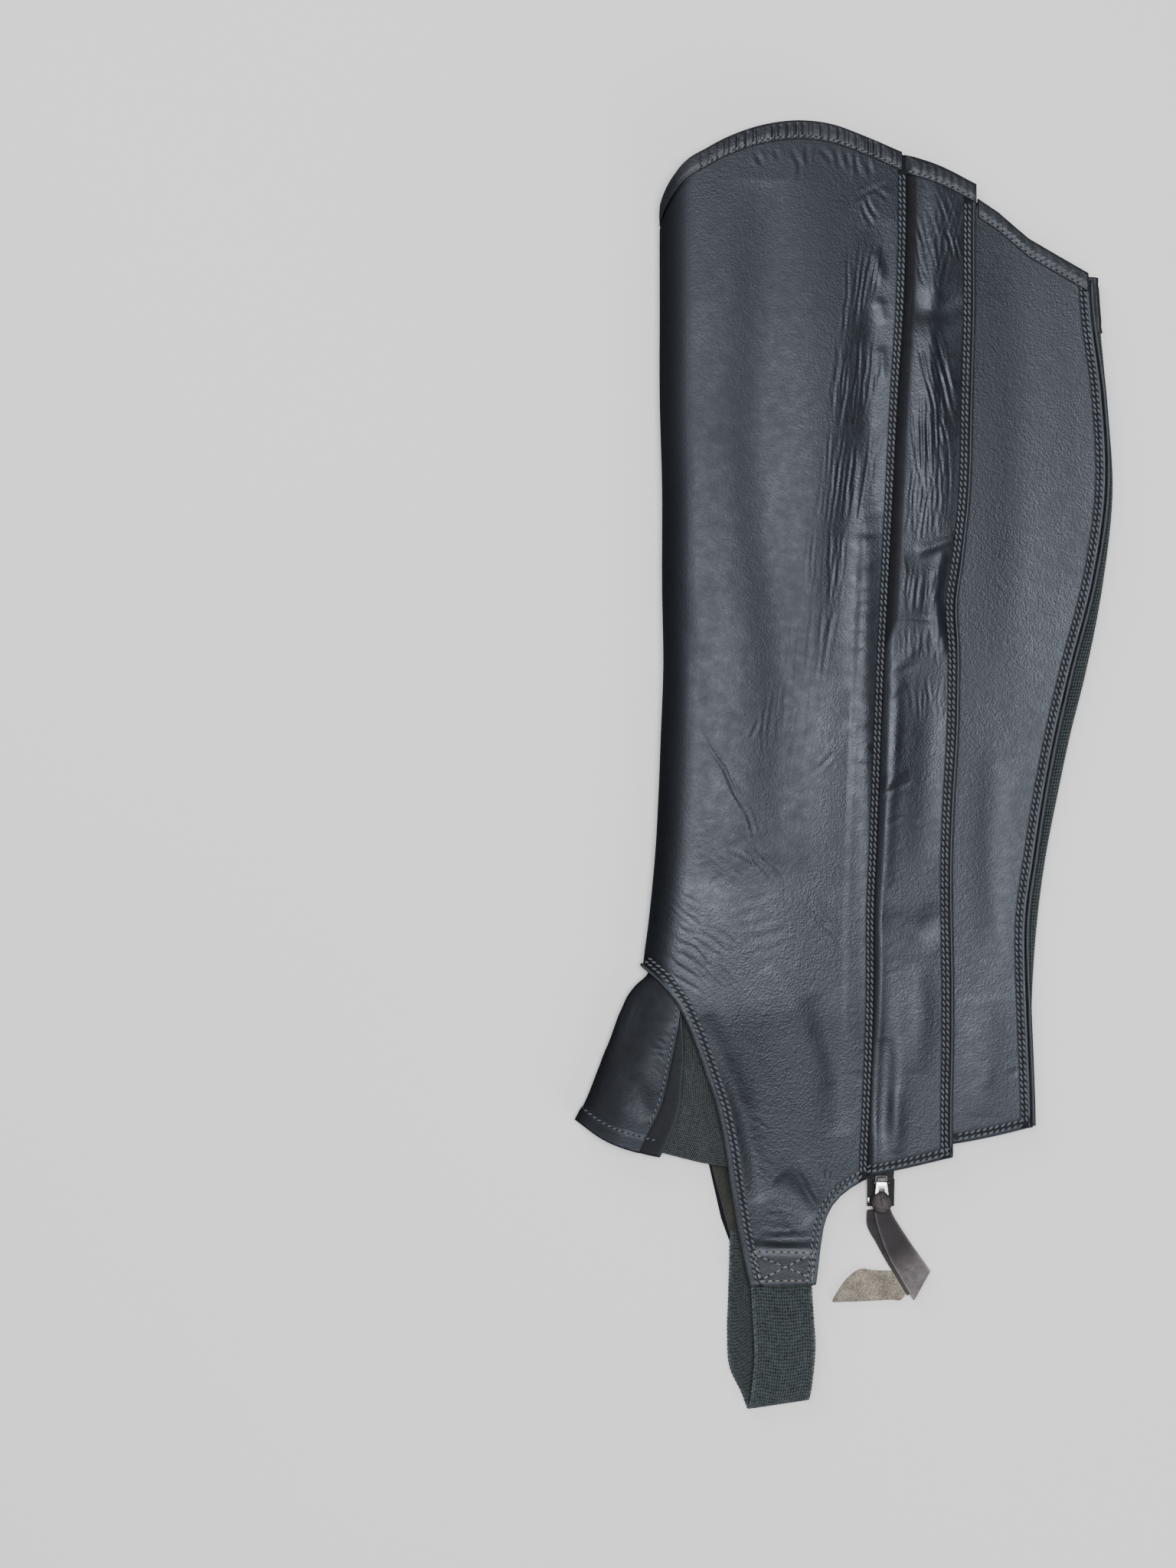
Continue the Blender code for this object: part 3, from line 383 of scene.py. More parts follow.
LEG_LINES = np.array([
    (260.0, -78.5, -64.5, 23.5, 55.5, 100.0, 104.5, 20.0),
    (229.0, -79.0, -65.0, 23.5, 55.0, 102.5, 106.5, 20.5),
    (197.0, -79.0, -65.0, 22.5, 55.0, 104.0, 108.5, 21.0),
    (158.0, -79.0, -65.0, 20.0, 54.0, 109.0, 112.0, 21.0),
    (119.0, -78.0, -64.0, 18.0, 53.0, 110.5, 114.5, 21.0),
    (80.0, -78.0, -64.0, 16.0, 49.5, 105.0, 110.5, 21.0),
    (41.0, -77.5, -63.5, 14.0, 48.5, 95.0, 103.0, 21.0),
    (15.0, -78.5, -64.5, 13.0, 48.0, 89.0, 96.5, 20.5),
    (-11.0, -79.5, -65.5, 12.0, 46.5, 84.0, 91.0, 20.0),
    (-37.0, -81.0, -67.0, 11.0, 45.5, 80.0, 86.0, 19.5),
    (-63.0, -83.5, -69.5, 10.0, 45.5, 76.5, 82.5, 19.0),
    (-89.0, -86.5, -72.5, 10.0, 46.0, 76.5, 80.5, 18.2),
    (-102.0, -86.5, -74.0, 9.8, 46.0, 77.0, 80.0, 17.8),
    (-115.0, -86.5, -80.5, 9.5, 46.0, 77.5, 80.0, 17.2),
    (-141.0, -86.5, -93.5, 8.5, 45.5, 78.5, 80.5, 16.0),
    (-174.0, -86.5, -100.0, 7.0, 45.5, 79.0, 81.0, 14.0),
    (-222.0, -86.5, -100.0, 6.0, 45.5, 79.0, 81.0, 10.8),
])[::-1]
LEG_COLUMNS = ("height", "shin", "ridge", "seam", "flap", "piping", "fold", "ridge_z")
SHIN_FOLD = 14.0
CALF_Z = 10.4
MAIN_TOP = ((-79.5, 237.0), (-77.8, 241.5), (-71.5, 252.0), (-58.5, 261.5), (-45.0, 268.0), (-32.0, 271.7),
            (-19.0, 273.0), (-6.0, 271.5), (7.0, 267.0), (24.0, 260.0))
INNER_TOP = ((-80.0, 237.5), (-40.0, 232.0), (106.0, 206.5))
ARCH = ((-86.6, -82.9), (-78.5, -89.7), (-70.4, -100.4), (-64.5, -113.1), (-58.7, -129.4), (-54.1, -143.3),
        (-50.5, -160.6), (-48.3, -175.8), (-45.0, -195.3), (-41.4, -212.9), (-39.8, -219.5))
TAB_AND_HEM = ((-12.5, -218.7), (-11.6, -211.5), (-10.6, -202.5), (-9.4, -194.5), (-8.0, -189.5),
               (-5.6, -184.8), (-2.2, -180.9), (2.2, -177.4), (8.0, -174.0))
INNER_ARCH = ((-86.6, -82.9), (-80.0, -91.5), (-74.5, -103.0), (-70.5, -116.0), (-66.5, -131.0),
              (-62.5, -147.0), (-57.7, -168.7), (-54.8, -184.0), (-50.5, -198.0), (-48.9, -209.5))
INNER_TAB_AND_HEM = ((-21.0, -209.0), (-19.5, -199.0), (-17.0, -188.0), (-12.0, -179.0), (-2.0, -172.0),
                     (7.0, -168.5), (45.7, -157.6), (79.0, -149.5))
UNDERLAP = 5.0
INNER_END = 2.997
LOW_START = -150.0
HIGH_START = 220.0
BINDING_WIDTH = 7.0
BINDING_RECESS = SEAM_GAP + 0.9
BINDING = 0.9
HEM_LINE = (ARCH[-1],) + TAB_AND_HEM
print("leg from", LEG_LINES[0, 0], "to", LEG_LINES[-1, 0], "mm up")

# %% Read the lines and the level of the outer face
#    across   up   turn  length width height
FOLDS = np.array([
    (10.0, 150.0, 93.0, 62.0, 7.0, -0.6),
    (9.0, 8.0, 91.0, 110.0, 4.0, 0.5),
    (-35.0, -150.0, 100.0, 45.0, 10.0, -0.6),
    (36.0, 190.0, 88.0, 60.0, 4.0, 0.6),
    (40.0, 76.0, 60.0, 14.0, 6.0, -1.0),
    (16.0, -130.0, 88.0, 30.0, 4.0, -0.8),
    (-51.0, -2.0, -54.0, 12.0, 3.5, -0.12),
    (-8.0, -56.0, -40.0, 12.0, 3.5, -0.12),
])


def together(*parts):
    """Puts x, y and z, each a grid of numbers, together as a grid of points."""
    return np.stack(np.broadcast_arrays(*parts), axis=-1)


def hump(away, width, power=2):
    """1 where away is 0, and softly down to 0 past the width."""
    return np.exp(-(away / width) ** power)


def smooth(xs, ys, x):
    """The smooth curve through the points (xs, ys), read at x. It goes on straight past its ends."""
    xs = np.asarray(xs, float)
    ys = np.asarray(ys, float)
    x = np.asarray(x, float)
    slopes = np.gradient(ys, xs)
    i = np.clip(np.searchsorted(xs, x) - 1, 0, len(xs) - 2)
    step = xs[i + 1] - xs[i]
    t = np.clip((x - xs[i]) / step, 0.0, 1.0)
    inside = (ys[i] * (1 + 2 * t) * (1 - t) ** 2 + ys[i + 1] * t * t * (3 - 2 * t)
              + step * slopes[i] * t * (1 - t) ** 2 + step * slopes[i + 1] * t * t * (t - 1))
    before = np.minimum(x - xs[0], 0.0) * slopes[0]
    after = np.maximum(x - xs[-1], 0.0) * slopes[-1]
    return inside + before + after


def straight(points, x):
    """The line of straight runs through the points, read at x."""
    table = np.array(points, float)
    return np.interp(x, table[:, 0], table[:, 1])


def rounded(points, x):
    """The smooth curve through the points, read at x."""
    table = np.array(points, float)
    return smooth(table[:, 0], table[:, 1], x)


def leg(column, y):
    """One of the leg's lines, read at height y."""
    return smooth(LEG_LINES[:, 0], LEG_LINES[:, LEG_COLUMNS.index(column)], y)


def ease(t):
    t = np.clip(t, 0.0, 1.0)
    return t * t * (3 - 2 * t)


def level(x, y):
    """Height of the main panel's outer face, and of that face carried on across the calf."""
    across = (x - leg("ridge", y)) / (leg("piping", y) - leg("ridge", y))
    return CALF_Z + (leg("ridge_z", y) - CALF_Z) * (1 - ease(across))


def folds(x, y):
    """What the folds and hollows add to the outer face."""
    total = np.zeros(np.broadcast(x, y).shape)
    for across, up, turn, length, width, height in FOLDS:
        c = math.cos(math.radians(turn))
        s = math.sin(math.radians(turn))
        along = ((x - across) * c + (y - up) * s) / length
        beside = ((y - up) * c - (x - across) * s) / width
        total += height * np.exp(-along ** 2 - beside ** 2)
    return total


def inner_seam(y):
    """Where the inner panel meets the elastic on the underside, from the width of the elastic."""
    width = 26.0 + 5.0 * ease((y + 130.0) / 315.0)
    return 2 * leg("fold", y) - leg("piping", y) - width + 3.1


def round_fold(middle, low, half_width, half_height, angle, out):
    """x and z on the round section of a fold, out mm off its face."""
    nx = np.cos(angle) / half_width
    nz = np.sin(angle) / half_height
    length = np.hypot(nx, nz)
    x = middle + half_width * np.cos(angle) + out * nx / length
    z = low + half_height * (1 + np.sin(angle)) + out * nz / length
    return x, z


def in_turn(share, top, fold, under):
    """The first value up to share 1, the second up to 2, and the third past it."""
    return np.where(share <= 1, top, np.where(share <= 2, fold, under))


def fold_height(x, crown, low, half_width, half_height):
    """Height of the upper half of a round fold at x."""
    return low + half_height * (1 + np.sqrt(np.clip(1 - ((crown - x) / half_width) ** 2, 0, 1)))


def leg_point(u, y, out):
    """A point on the leather round the leg, out mm off its outer face.

    u goes from 0 at the flap seam to 1 at the crown, 2 where the shin's fold meets the table, and 3 at the
    inner seam of the elastic.
    """
    u, y, out = np.broadcast_arrays(np.asarray(u, float), y, out)
    crown = leg("shin", y) + SHIN_FOLD
    half_height = level(crown, y) / 2
    top_x = leg("seam", y) + (crown - leg("seam", y)) * u
    angle = math.pi * (0.5 + np.clip(u - 1, 0, 1))
    fold_x, fold_z = round_fold(crown, 0.0, SHIN_FOLD, half_height, angle, out)
    under_x = crown + (inner_seam(y) - crown) * (u - 2)
    x = in_turn(u, top_x, fold_x, under_x)
    return together(x, y, in_turn(u, level(top_x, y) + out, fold_z, -out))


def leg_recess(u):
    """How deep the top edge is let in under its binding, so that the underside stays flat."""
    return BINDING_RECESS * ease((np.asarray(u, float) - 1.0) / 0.6)


def end_of_column(edge, x_of_y, start):
    """Where a line down the leg meets an edge: its height there."""
    y = np.full_like(np.asarray(x_of_y(start), float), start)
    for _ in range(12):
        y = edge(x_of_y(y))
    return y


def main_low_edge(x):
    return np.where(x < ARCH[-1][0], straight(ARCH, x), straight(HEM_LINE, x))


def main_high_edge(x, shares):
    return np.where(shares <= 1.5, rounded(MAIN_TOP, x), rounded(INNER_TOP, x))


def inner_low_edge(x):
    tab = straight((INNER_ARCH[-1],) + INNER_TAB_AND_HEM, x)
    return np.where(x < INNER_ARCH[-1][0], straight(INNER_ARCH, x), tab)


print("level over the shin and the calf, in mm:", np.round(level(np.array([-64.0, 100.0]), 119.0), 1))

# %% [markdown]
# ## Creases, puckers and rolls
# Leather that has been bent for years keeps its creases: narrow troughs with soft swollen lips. They are
# drawn here, from the photograph, as short lines with a width and a depth, and each fades out at its
# ends. A field is a family of nearly parallel wrinkles between two lines that are given.

# %% Draw creases as heights in millimetres
shake = np.random.default_rng(29)


def crease(x, y, width, depth, lips, points):
    """What one crease adds at (x, y). A negative depth makes a ridge."""
    line = np.array([from_photo(*point) for point in points])
    reach = 4.5 * width
    near = ((x > line[:, 0].min() - reach) & (x < line[:, 0].max() + reach)
            & (y > line[:, 1].min() - reach) & (y < line[:, 1].max() + reach))
    total = np.zeros(x.shape)
    if not near.any():
        return total
    px = x[near]
    py = y[near]
    best = np.full(px.shape, 1e9)
    share = np.zeros(px.shape)
    runs = np.hypot(*np.diff(line, axis=0).T)
    for k, run in enumerate(runs):
        ax, ay = line[k]
        dx, dy = line[k + 1] - line[k]
        t = np.clip(((px - ax) * dx + (py - ay) * dy) / run ** 2, 0, 1)
        away = np.hypot(px - ax - t * dx, py - ay - t * dy)
        closer = away < best
        best = np.where(closer, away, best)
        share = np.where(closer, (runs[:k].sum() + t * run) / runs.sum(), share)
    fade = (4 * share * (1 - share) + 0.01) ** 0.45
    trough = hump(best, width)
    lip = hump(best - 1.9 * width, 0.9 * width)
    total[near] = depth * fade * (lips * lip - trough)
    return total


def field(count, width, depth, first, last):
    """Wrinkles spread from the line first to the line last, each given as two ends."""
    first = np.array(first, float)
    last = np.array(last, float)
    made = []
    for k in range(count * 2):
        t = shake.uniform(0.0, 1.0)
        ends = first * (1 - t) + last * t + shake.uniform(-9.0, 9.0, (2, 2)) * ((0.5, 1.0), (0.5, 1.0))
        reach = shake.uniform(0.3, 1.0)
        start = shake.uniform(0.0, 1.0 - reach)
        ends = ends[0] + (ends[1] - ends[0]) * ((start,), (start + reach,))
        bend = (ends[0] + ends[1]) / 2 + shake.uniform(-4.0, 4.0, 2)
        size = shake.uniform(0.12, 0.5)
        made.append((width * shake.uniform(0.65, 1.2), depth * size, 0.55, (ends[0], bend, ends[1])))
    return made


def relief_of(creases, x, y):
    x, y = np.broadcast_arrays(np.asarray(x, float), np.asarray(y, float))
    total = np.zeros(x.shape)
    for width, depth, lips, points in creases:
        total += crease(x, y, width, depth, lips, points)
    return total


def fields(*rows):
    """The wrinkles of several fields, one after the other."""
    return [wrinkle for row in rows for wrinkle in field(*row)]


print("crease helpers ready")

# %% Draw the creases of the leg leather
#   width depth lips  line through the photograph
MAIN_CREASES = [
    (9.0, 0.95, 0.1, ((1146, 400), (1138, 470), (1128, 560), (1118, 640), (1104, 720), (1094, 800),
                      (1088, 880))),
    (6.0, 0.35, 0.1, ((1150, 290), (1147, 380), (1140, 461))),
    (12.0, 1.25, 0.05, ((1002, 240), (996, 420), (990, 560), (1000, 700), (1018, 820), (1024, 930),
                        (1016, 1110))),
    (5.0, 0.8, 0.1, ((918, 1326), (948, 1396), (968, 1450), (982, 1510), (990, 1570))),
    (5.0, 0.55, 0.2, ((1018, 1536), (1042, 1562), (1062, 1592))),
    (1.8, 0.55, 0.4, ((982, 1628), (1024, 1630), (1068, 1630))),
    (1.4, 0.22, 0.5, ((990, 1617), (1062, 1616))),
    (0.8, 0.13, 0.5, ((914, 955), (930, 984), (945, 1004), (957, 1034), (976, 1064), (984, 1092))),
    (3.0, -0.1, 0.0, ((912, 930), (926, 968), (938, 1000))),
    (0.9, 0.09, 0.6, ((1058, 1010), (1072, 1000), (1087, 984))),
    (0.8, 0.08, 0.6, ((979, 966), (985, 953), (990, 942))),
    (0.8, 0.12, 0.5, ((1034, 1172), (1052, 1186), (1075, 1206), (1101, 1226))),
    (0.8, 0.08, 0.5, ((1062, 1198), (1082, 1216), (1098, 1232))),
    (0.9, 0.12, 0.6, ((1116, 263), (1130, 254), (1156, 243))),
    (0.8, 0.11, 0.6, ((1129, 260), (1136, 276), (1146, 288))),
    (0.8, 0.1, 0.6, ((1124, 270), (1131, 286), (1138, 296))),
    (0.8, 0.1, 0.6, ((1140, 250), (1150, 256), (1158, 262))),
    (2.4, -0.35, 0.0, ((1142, 330), (1150, 372))),
    (2.4, -0.3, 0.0, ((1146, 392), (1152, 424))),
    (2.0, -0.35, 0.0, ((1150, 455), (1152, 500))),
    (4.0, 0.3, 0.2, ((884, 760), (905, 860), (912, 940))),
    (5.0, 0.1, 0.2, ((1000, 1120), (1050, 1150), (1108, 1160))),
    (6.0, 0.25, 0.2, ((900, 1130), (960, 1160), (1010, 1230))),
    (5.0, -0.2, 0.0, ((1000, 1260), (1050, 1330), (1080, 1420))),
    (6.0, 0.4, 0.2, ((1060, 1300), (1090, 1400), (1098, 1480))),
    (0.9, 0.14, 0.6, ((974, 1112), (990, 1128), (1011, 1148))),
    (0.9, 0.12, 0.6, ((984, 1108), (1000, 1120), (1018, 1136))),
]
UNDER_BINDING = (
    ((986, 206), (994, 219)), ((1010, 200), (1016, 212)), ((1032, 199), (1044, 220), (1040, 238)),
    ((1054, 196), (1051, 216)), ((1071, 200), (1087, 216)), ((1090, 200), (1095, 222)),
    ((1104, 206), (1109, 220)), ((1115, 209), (1120, 231)), ((1132, 216), (1136, 230)))
BESIDE_SEAM = (671, 696, 721, 738, 764, 781, 800, 818, 838, 861, 884, 911, 932, 953, 975, 996, 1021, 1046,
               1068, 1092, 1118, 1141, 1203, 1228, 1290, 1352, 1374, 1402, 1430)
BULGES = ((1118, 700, 716), (1120, 742, 760), (1114, 802, 820), (1112, 826, 844), (1112, 850, 876),
          (1110, 880, 905), (1108, 940, 962))
for line in UNDER_BINDING:
    MAIN_CREASES.append((1.0, 0.12, 0.6, line))
for down in BESIDE_SEAM:
    strength = shake.uniform(0.05, 0.24) if down < 1000 else 0.05
    left = shake.uniform(1104, 1140)
    tilt = shake.uniform(-6, 6)
    line = ((left, down + 4), (1150, down - tilt), (1164, down - 3))
    MAIN_CREASES.append((shake.uniform(1.3, 2.2), strength, 0.3, line))
for across, top, low in BULGES:
    line = ((across + 8, top), (across + 6, (top + low) / 2), (across + 5, low))
    MAIN_CREASES.append((4.0, -0.2, 0.0, line))
MAIN_CREASES += fields(
    (10, 0.7, 0.15, ((1156, 310), (1138, 400)), ((1108, 340), (1100, 440))),
    (15, 0.7, 0.16, ((1156, 430), (1138, 550)), ((1090, 450), (1080, 560))),
    (16, 0.7, 0.17, ((1150, 560), (1128, 690)), ((1076, 570), (1064, 690))),
    (13, 0.7, 0.15, ((1104, 700), (1096, 790)), ((1048, 690), (1042, 790))),
    (10, 0.8, 0.1, ((1092, 790), (1078, 890)), ((1030, 790), (1020, 900))),
    (8, 0.9, 0.08, ((1080, 900), (1060, 1000)), ((1000, 880), (990, 980))),
    (15, 0.7, 0.15, ((862, 1150), (930, 1186)), ((852, 1256), (926, 1300))),
    (13, 0.7, 0.13, ((896, 1056), (940, 1044)), ((900, 1170), (960, 1146))),
    (12, 0.7, 0.12, ((900, 1190), (980, 1240)), ((900, 1250), (960, 1320))),
    (11, 0.7, 0.12, ((920, 1130), (1000, 1180)), ((960, 1080), (1040, 1120))),
    (10, 0.7, 0.12, ((1034, 1524), (1066, 1574)), ((1080, 1512), (1096, 1548))),
    (9, 0.8, 0.14, ((990, 1560), (1040, 1580)), ((996, 1616), (1056, 1620))),
    (8, 0.8, 0.14, ((974, 1440), (1010, 1450)), ((984, 1540), (1020, 1560))),
    (9, 1.2, 0.08, ((930, 1080), (1000, 1070)), ((960, 1250), (1040, 1230))),
    (8, 1.0, 0.07, ((1100, 1240), (1124, 1236)), ((1098, 1460), (1122, 1456))),
)
print("creases of the leg leather:", len(MAIN_CREASES))

# %% Draw the creases of the flap
FLAP_CREASES = [
    (6.5, -0.4, 0.0, ((1238, 240), (1234, 310), (1228, 384))),
    (5.0, 0.8, 0.1, ((1186, 404), (1225, 408), (1268, 392))),
    (6.0, -0.4, 0.0, ((1212, 434), (1212, 520), (1222, 600), (1226, 700))),
    (5.5, 0.3, 0.0, ((1268, 250), (1266, 350), (1264, 440), (1262, 520), (1257, 620), (1252, 700))),
    (4.5, 0.35, 0.0, ((1266, 430), (1262, 500), (1258, 570))),
    (2.2, -0.45, 0.0, ((1196, 722), (1216, 716), (1246, 703))),
    (4.6, 0.5, 0.1, ((1182, 740), (1212, 734), (1240, 726))),
    (2.8, 1.9, 0.3, ((1247, 722), (1240, 756), (1237, 785), (1241, 818), (1249, 850))),
    (0.8, 0.2, 0.5, ((1158, 809), (1190, 807), (1222, 812))),
    (2.4, -0.3, 0.0, ((1164, 874), (1184, 858), (1204, 836))),
    (0.8, 0.12, 0.6, ((1158, 884), (1180, 876), (1200, 868))),
    (1.9, -0.2, 0.0, ((1162, 910), (1170, 898), (1182, 892))),
    (2.3, -0.3, 0.0, ((1150, 1030), (1162, 1018), (1184, 1008))),
    (1.0, 0.18, 0.6, ((1152, 1040), (1166, 1030), (1188, 1022))),
    (1.0, 0.15, 0.6, ((1156, 1076), (1176, 1068), (1198, 1072))),
    (2.6, -0.36, 0.0, ((1170, 872), (1170, 930), (1166, 1000), (1160, 1060), (1156, 1160))),
    (7.0, 0.45, 0.1, ((1215, 880), (1212, 1000), (1205, 1130))),
    (4.2, 0.8, 0.2, ((1152, 1356), (1151, 1416), (1149, 1484))),
    (3.0, -0.36, 0.0, ((1168, 1420), (1169, 1465), (1170, 1506))),
    (5.0, 0.35, 0.2, ((1150, 1200), (1200, 1216), (1236, 1190))),
    (5.0, -0.3, 0.0, ((1200, 1260), (1204, 1330), (1196, 1400))),
]
#   count width depth  first line  last line
FLAP_CREASES += fields(
    (19, 0.65, 0.165, ((1188, 286), (1212, 384)), ((1228, 244), (1262, 336))),
    (14, 0.6, 0.12, ((1222, 250), (1198, 330)), ((1256, 270), (1226, 384))),
    (18, 0.65, 0.195, ((1188, 452), (1226, 604)), ((1216, 416), (1252, 540))),
    (18, 0.6, 0.165, ((1186, 500), (1196, 640)), ((1240, 520), (1240, 660))),
    (20, 0.6, 0.15, ((1188, 606), (1182, 706)), ((1244, 600), (1238, 700))),
    (17, 0.6, 0.128, ((1186, 744), (1182, 806)), ((1234, 738), (1228, 804))),
    (16, 0.65, 0.105, ((1166, 816), (1172, 866)), ((1238, 812), (1234, 866))),
    (15, 0.7, 0.083, ((1180, 890), (1186, 940)), ((1240, 884), (1238, 940))),
    (15, 0.8, 0.068, ((1150, 1090), (1180, 1084)), ((1148, 1280), (1180, 1270))),
    (14, 0.8, 0.053, ((1190, 1020), (1232, 1012)), ((1190, 1260), (1232, 1250))),
)
print("creases of the flap:", len(FLAP_CREASES))

# %% Draw the creases of the side panel and the tongue
SIDE_CREASES = [
    (10.0, 0.25, 0.1, ((1326, 320), (1334, 500), (1330, 700), (1318, 860))),
    (9.0, -0.35, 0.0, ((1290, 1300), (1288, 1380), (1285, 1460))),
    (6.0, 0.3, 0.1, ((1300, 980), (1296, 1120), (1300, 1240))),
    (2.4, -0.1, 0.0, ((1292, 1390), (1290, 1420))),
    (0.6, 0.14, 0.5, ((1303, 760), (1312, 770))),
]
#   count width depth  first line  last line
SIDE_CREASES += fields(
    (6, 0.8, 0.1, ((1316, 1366), (1334, 1362)), ((1318, 1414), (1336, 1408))),
    (9, 1.0, 0.05, ((1284, 360), (1340, 352)), ((1290, 820), (1350, 812))),
    (9, 1.0, 0.05, ((1262, 900), (1330, 892)), ((1262, 1330), (1320, 1322))),
)

TONGUE_CREASES = [
    (4.0, 0.55, 0.2, ((826, 1404), (836, 1436), (846, 1462))),
    (4.5, 0.5, 0.2, ((842, 1300), (828, 1340), (806, 1390))),
    (3.5, -0.4, 0.0, ((876, 1330), (868, 1380), (858, 1430))),
    (2.0, 0.3, 0.3, ((800, 1330), (790, 1372))),
]
#   count width depth  first line  last line
TONGUE_CREASES += fields(
    (13, 0.65, 0.16, ((852, 1316), (882, 1326)), ((848, 1396), (872, 1408))),
    (12, 0.7, 0.12, ((830, 1290), (800, 1350)), ((860, 1296), (836, 1360))),
    (10, 0.7, 0.1, ((790, 1400), (782, 1436)), ((846, 1420), (838, 1462))),
)
print("creases of the side panel:", len(SIDE_CREASES), "and of the tongue:", len(TONGUE_CREASES))

# %% [markdown]
# ## Shells
# A panel is a sheet of leather, so it is made as a fine grid of points that follows its lines, closed by a
# rounded cut edge and a plain inner face. The inner face is four times coarser, because nobody sees it
# closely. The grid's own arc lengths become its UV map, in metres.

# %% Make closed shells and lofts


def to_frame(points):
    return (np.asarray(points, float) + FRAME_SHIFT) * MM


def build(name, points, faces, looks, indices=None, uv=None, wear_and_shade=None):
    """An object from points in millimetres. Faces are turned outwards if the volume comes out negative."""
    points = to_frame(points)
    volume = 0.0
    for size in (3, 4):
        group = np.array([face for face in faces if len(face) == size])
        if len(group) == 0:
            continue
        a = points[group[:, 0]]
        for k in range(1, size - 1):
            volume += (a * np.cross(points[group[:, k]], points[group[:, k + 1]])).sum()
    if volume < 0:
        faces = [face[::-1] for face in faces]
    mesh = bpy.data.meshes.new(name)
    mesh.from_pydata(points.tolist(), [], faces)
    for look in looks:
        mesh.materials.append(look)
    if indices is not None:
        mesh.polygons.foreach_set("material_index", np.asarray(indices, np.int32))
    mesh.polygons.foreach_set("use_smooth", np.full(len(faces), True))
    if uv is not None:
        corners = np.empty(len(mesh.loops), np.int32)
        mesh.loops.foreach_get("vertex_index", corners)
        layer = mesh.uv_layers.new(name="UVMap")
        layer.data.foreach_set("uv", np.asarray(uv, np.float32)[corners].ravel())
    if wear_and_shade is not None:
        mesh.attributes.new("wear_and_shade", "FLOAT", "POINT").data.foreach_set("value", np.asarray(wear_and_shade, np.float32))
    mesh.update()
    made = bpy.data.objects.new(name, mesh)
    bpy.context.scene.collection.objects.link(made)
    return made


def arc_lengths(grid):
    across = np.zeros(grid.shape[:2])
    across[:, 1:] = np.cumsum(np.linalg.norm(np.diff(grid, axis=1), axis=2), axis=1)
    along = np.zeros(grid.shape[:2])
    along[1:] = np.cumsum(np.linalg.norm(np.diff(grid, axis=0), axis=2), axis=0)
    return together(across, along) * MM


def distances(table):
    """How far along its line each point of a table lies, in plan, in millimetres."""
    table = np.asarray(table, float)
    return np.concatenate([[0], np.cumsum(np.hypot(*np.diff(table[:, :2], axis=0).T))])


def unit(vectors):
    return vectors / np.maximum(np.linalg.norm(vectors, axis=-1, keepdims=True), 1e-9)


def squares(index):
    """The faces between the points of a grid, given the points' numbers."""
    return together(index[:-1, :-1], index[:-1, 1:], index[1:, 1:], index[1:, :-1]).reshape(-1, 4)


def shell(name, outer, inner, look, inside=None, step=4, wear_and_shade=None, bead=0.22):
    """A closed shell from two grids of points. Both sides of a grid are a multiple of step, plus one."""
    rows, columns = outer.shape[:2]
    assert (rows - 1) % step == 0 and (columns - 1) % step == 0, (name, rows, columns)
    count = rows * columns
    index = np.arange(count).reshape(rows, columns)
    rim = [(0, j) for j in range(columns)] + [(i, columns - 1) for i in range(1, rows)]
    rim += [(rows - 1, j) for j in range(columns - 2, -1, -1)] + [(i, 0) for i in range(rows - 2, 0, -1)]
    rim = np.array(rim)
    inward = np.clip(rim, 1, (rows - 2, columns - 2))
    edge = outer[rim[:, 0], rim[:, 1]]
    outward = unit(edge - outer[inward[:, 0], inward[:, 1]])
    down = inner[rim[:, 0], rim[:, 1]] - edge
    bead_section = ((0.75, 0.2), (1, 0.5), (0.75, 0.8))
    loops = [edge + outward * bead * bulge + down * share for bulge, share in bead_section]
    coarse = inner[::step, ::step]
    points = np.concatenate([outer.reshape(-1, 3), *loops, coarse.reshape(-1, 3)])

    quads = [squares(index)]
    total = len(rim)
    ring = np.arange(total)
    after = (ring + 1) % total
    before_ids = index[rim[:, 0], rim[:, 1]]
    for k in range(3):
        ids = count + k * total + ring
        quads.append(together(before_ids[ring], ids, ids[after], before_ids[after]))
        before_ids = ids
    faces = np.concatenate(quads).tolist()
    inner_index = count + 3 * total + np.arange(coarse.shape[0] * coarse.shape[1]).reshape(coarse.shape[:2])
    rim_inner = inner_index[rim[::step, 0] // step, rim[::step, 1] // step]
    middle = step // 2
    for k in range(len(rim_inner)):
        here = rim_inner[k]
        following = rim_inner[(k + 1) % len(rim_inner)]
        fine = [int(before_ids[(k * step + m) % total]) for m in range(step + 1)]
        for m in range(middle):
            faces.append([fine[m], int(here), fine[m + 1]])
        faces.append([fine[middle], int(here), int(following)])
        for m in range(middle, step):
            faces.append([fine[m], int(following), fine[m + 1]])
    outside_faces = len(faces)
    faces += squares(inner_index)[:, [0, 3, 2, 1]].tolist()
    indices = [0] * outside_faces + [1 if inside else 0] * (len(faces) - outside_faces)

    uv = arc_lengths(outer)
    rim_uv = uv[rim[:, 0], rim[:, 1]]
    all_uv = np.concatenate([uv.reshape(-1, 2), rim_uv, rim_uv, rim_uv, uv[::step, ::step].reshape(-1, 2)])
    # the attribute holds rubbed wear above zero and painted shade below zero
    if wear_and_shade is None:
        wear_and_shade = np.zeros((rows, columns))
    wear_and_shade = np.broadcast_to(wear_and_shade, (rows, columns))
    edge_wear_and_shade = wear_and_shade[rim[:, 0], rim[:, 1]]
    inner_wear = np.zeros(coarse.shape[0] * coarse.shape[1])
    all_wear_and_shade = np.concatenate([wear_and_shade.ravel(), edge_wear_and_shade, edge_wear_and_shade, edge_wear_and_shade, inner_wear])
    looks = [look, inside] if inside else [look]
    made = build(name, points, faces, looks, indices, all_uv, all_wear_and_shade)
    print(f"{name}: {len(made.data.polygons)} faces")
    return made


